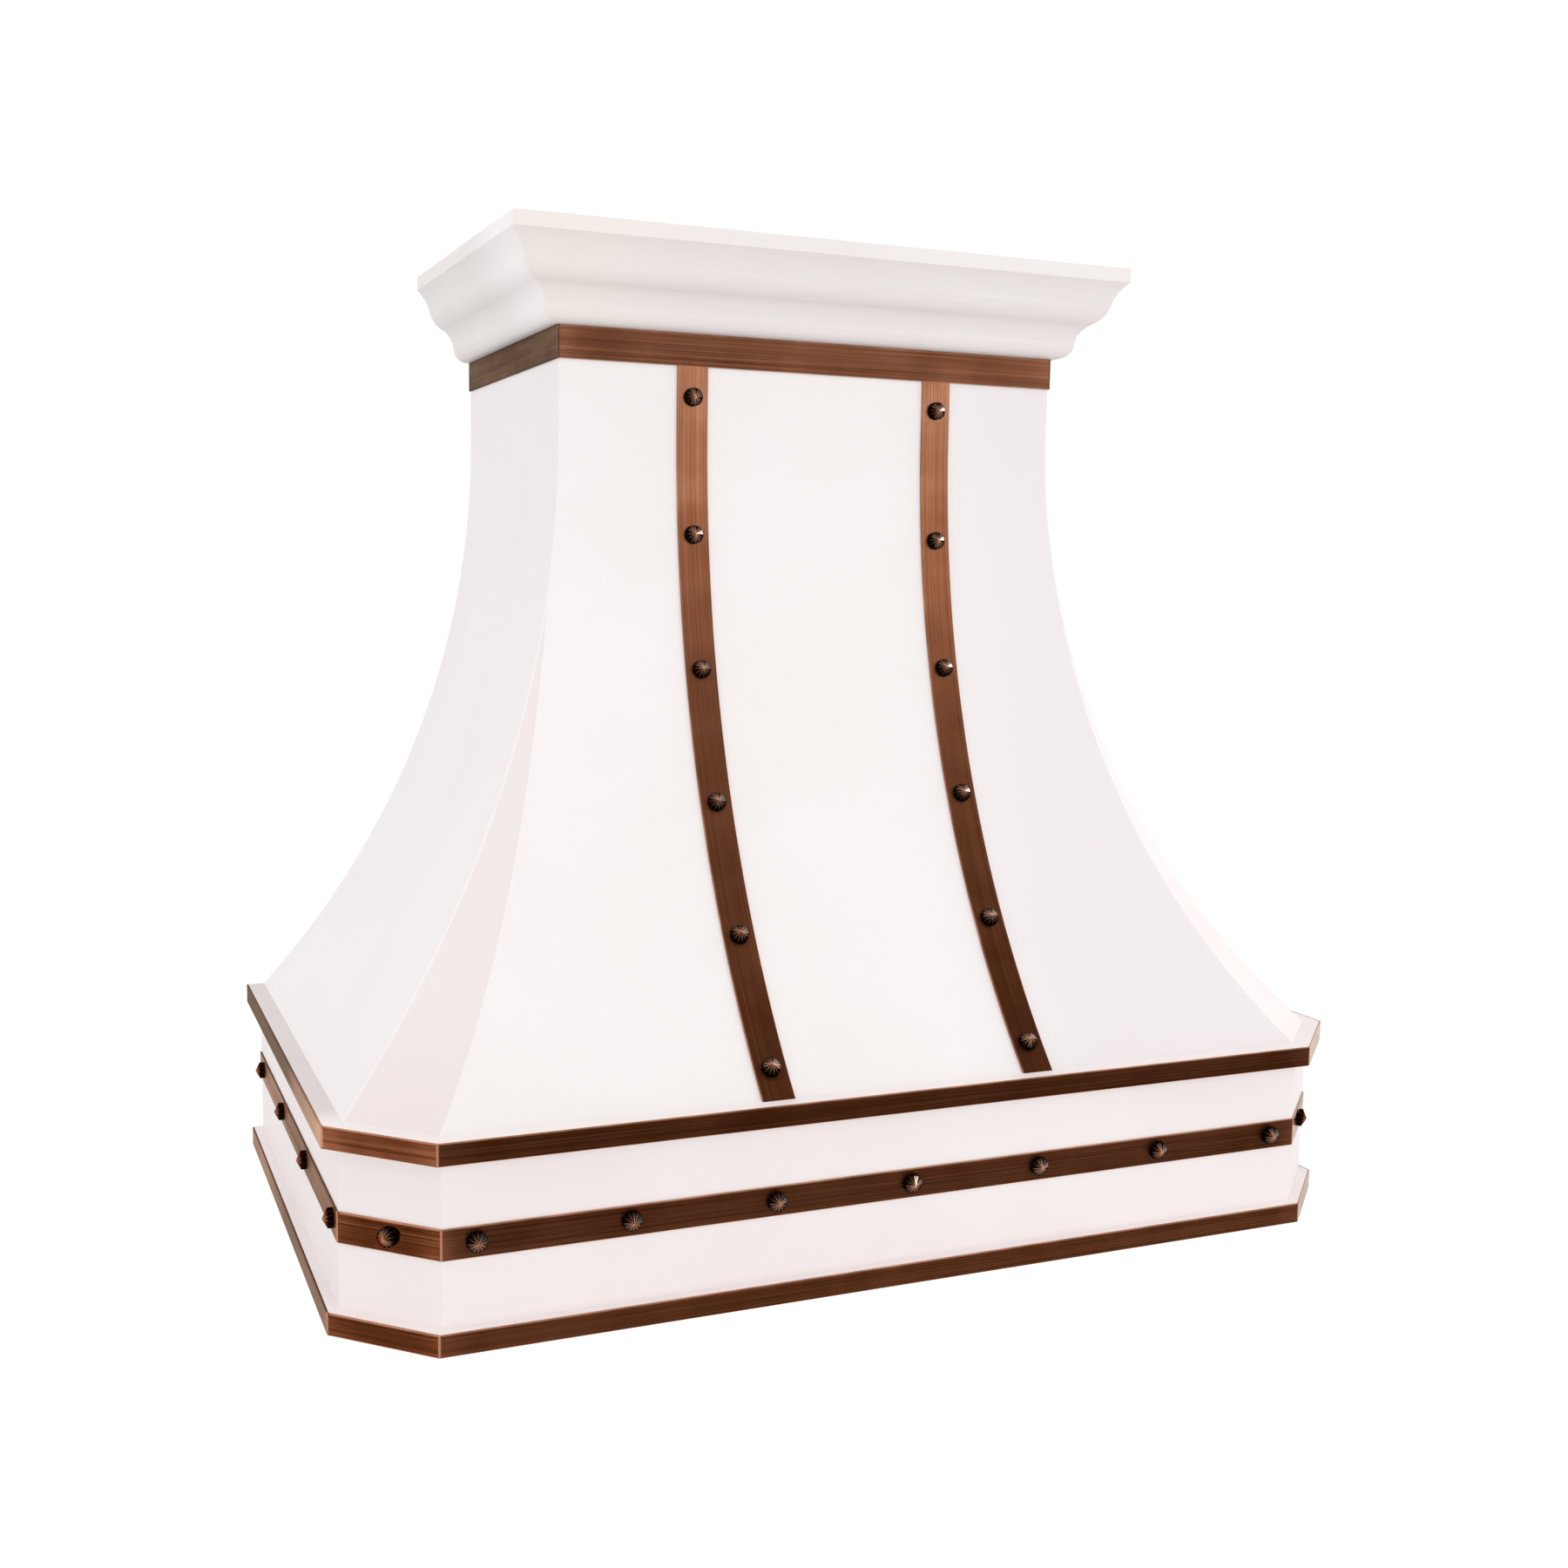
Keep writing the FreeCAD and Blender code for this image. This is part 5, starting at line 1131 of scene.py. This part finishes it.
class HOOD_OT_set_stage(bpy.types.Operator):
    """Camera, floor, soft lights and a white room"""

    bl_idname = "hood.set_stage"
    bl_label = "Set the stage"

    def execute(self, context):
        scene = context.scene
        stage = scene.hood_stage
        scene.view_settings.view_transform = "Standard"
        camera = bpy.data.objects.new("camera", bpy.data.cameras.new("camera"))
        camera.data.sensor_width = 36
        camera.data.lens = stage.lens
        camera.matrix_world = (Matrix.Translation(stage.eye) @ Matrix.Rotation(-stage.yaw, 4, "Z")
                               @ Matrix.Rotation(math.pi / 2 + stage.pitch, 4, "X")
                               @ Matrix.Rotation(stage.roll, 4, "Z"))
        scene.collection.objects.link(camera)
        scene.camera = camera
        studio_world(scene)
        studio_floor(stage.floor)
        middle = (0, -0.3, 0.45)
        soft_light("front_light", (1.0, -3.05, 1.15), middle, (1.3, 0.9), stage.key)
        soft_light("side_light", (1.95, -2.5, 1.4), (0, -0.6, 0.1), (0.4, 0.18), stage.side)
        soft_light("right_light", (2.4, -0.65, 1.3), middle, (1.3, 0.46), stage.right)
        soft_light("left_light", (-2.6, 0.4, 1.5), middle, (1.8, 1.6), stage.left)
        soft_light("low_light", (-2.4, -1.2, 0.5), middle, (1.2, 1.0), stage.low)
        soft_light("top_light", (-0.5, -0.9, 2.9), middle, (2.2, 1.8), stage.top)
        return {"FINISHED"}


# Panel and registration
GROUPS = {"hood_paint": HoodPaint, "hood_copper": HoodCopper, "hood_studs": HoodStuds,
          "hood_steel": HoodSteel, "hood_fittings": HoodFittings, "hood_stage": HoodStage}
STEPS = (HOOD_OT_paint_sheets, HOOD_OT_paint_wood, HOOD_OT_age_copper, HOOD_OT_set_studs,
         HOOD_OT_brush_steel, HOOD_OT_coat_zinc, HOOD_OT_fit_fasteners, HOOD_OT_close_rear,
         HOOD_OT_fit_lamps, HOOD_OT_fit_controls, HOOD_OT_fit_motor, HOOD_OT_grain_wood,
         HOOD_OT_set_stage)


class HOOD_PT_steps(bpy.types.Panel):
    """The hood's steps, in order"""

    bl_idname = "HOOD_PT_steps"
    bl_label = "Range hood"
    bl_space_type = "VIEW_3D"
    bl_region_type = "UI"
    bl_category = "Hood"

    def draw(self, context):
        for step in STEPS:
            self.layout.operator(step.bl_idname)
        for group in GROUPS:
            box = self.layout.box()
            values = getattr(context.scene, group)
            for name in values.__annotations__:
                box.prop(values, name)


def register():
    for kind in (*GROUPS.values(), *STEPS, HOOD_PT_steps):
        bpy.utils.register_class(kind)
    for name, kind in GROUPS.items():
        setattr(bpy.types.Scene, name, PointerProperty(type=kind))


def unregister():
    for name in GROUPS:
        delattr(bpy.types.Scene, name)
    for kind in (HOOD_PT_steps, *reversed(STEPS), *GROUPS.values()):
        bpy.utils.unregister_class(kind)


def main():
    register()
    for step in STEPS:
        group, name = step.bl_idname.split(".")
        getattr(getattr(bpy.ops, group), name)()


if __name__ == "__main__":
    main()
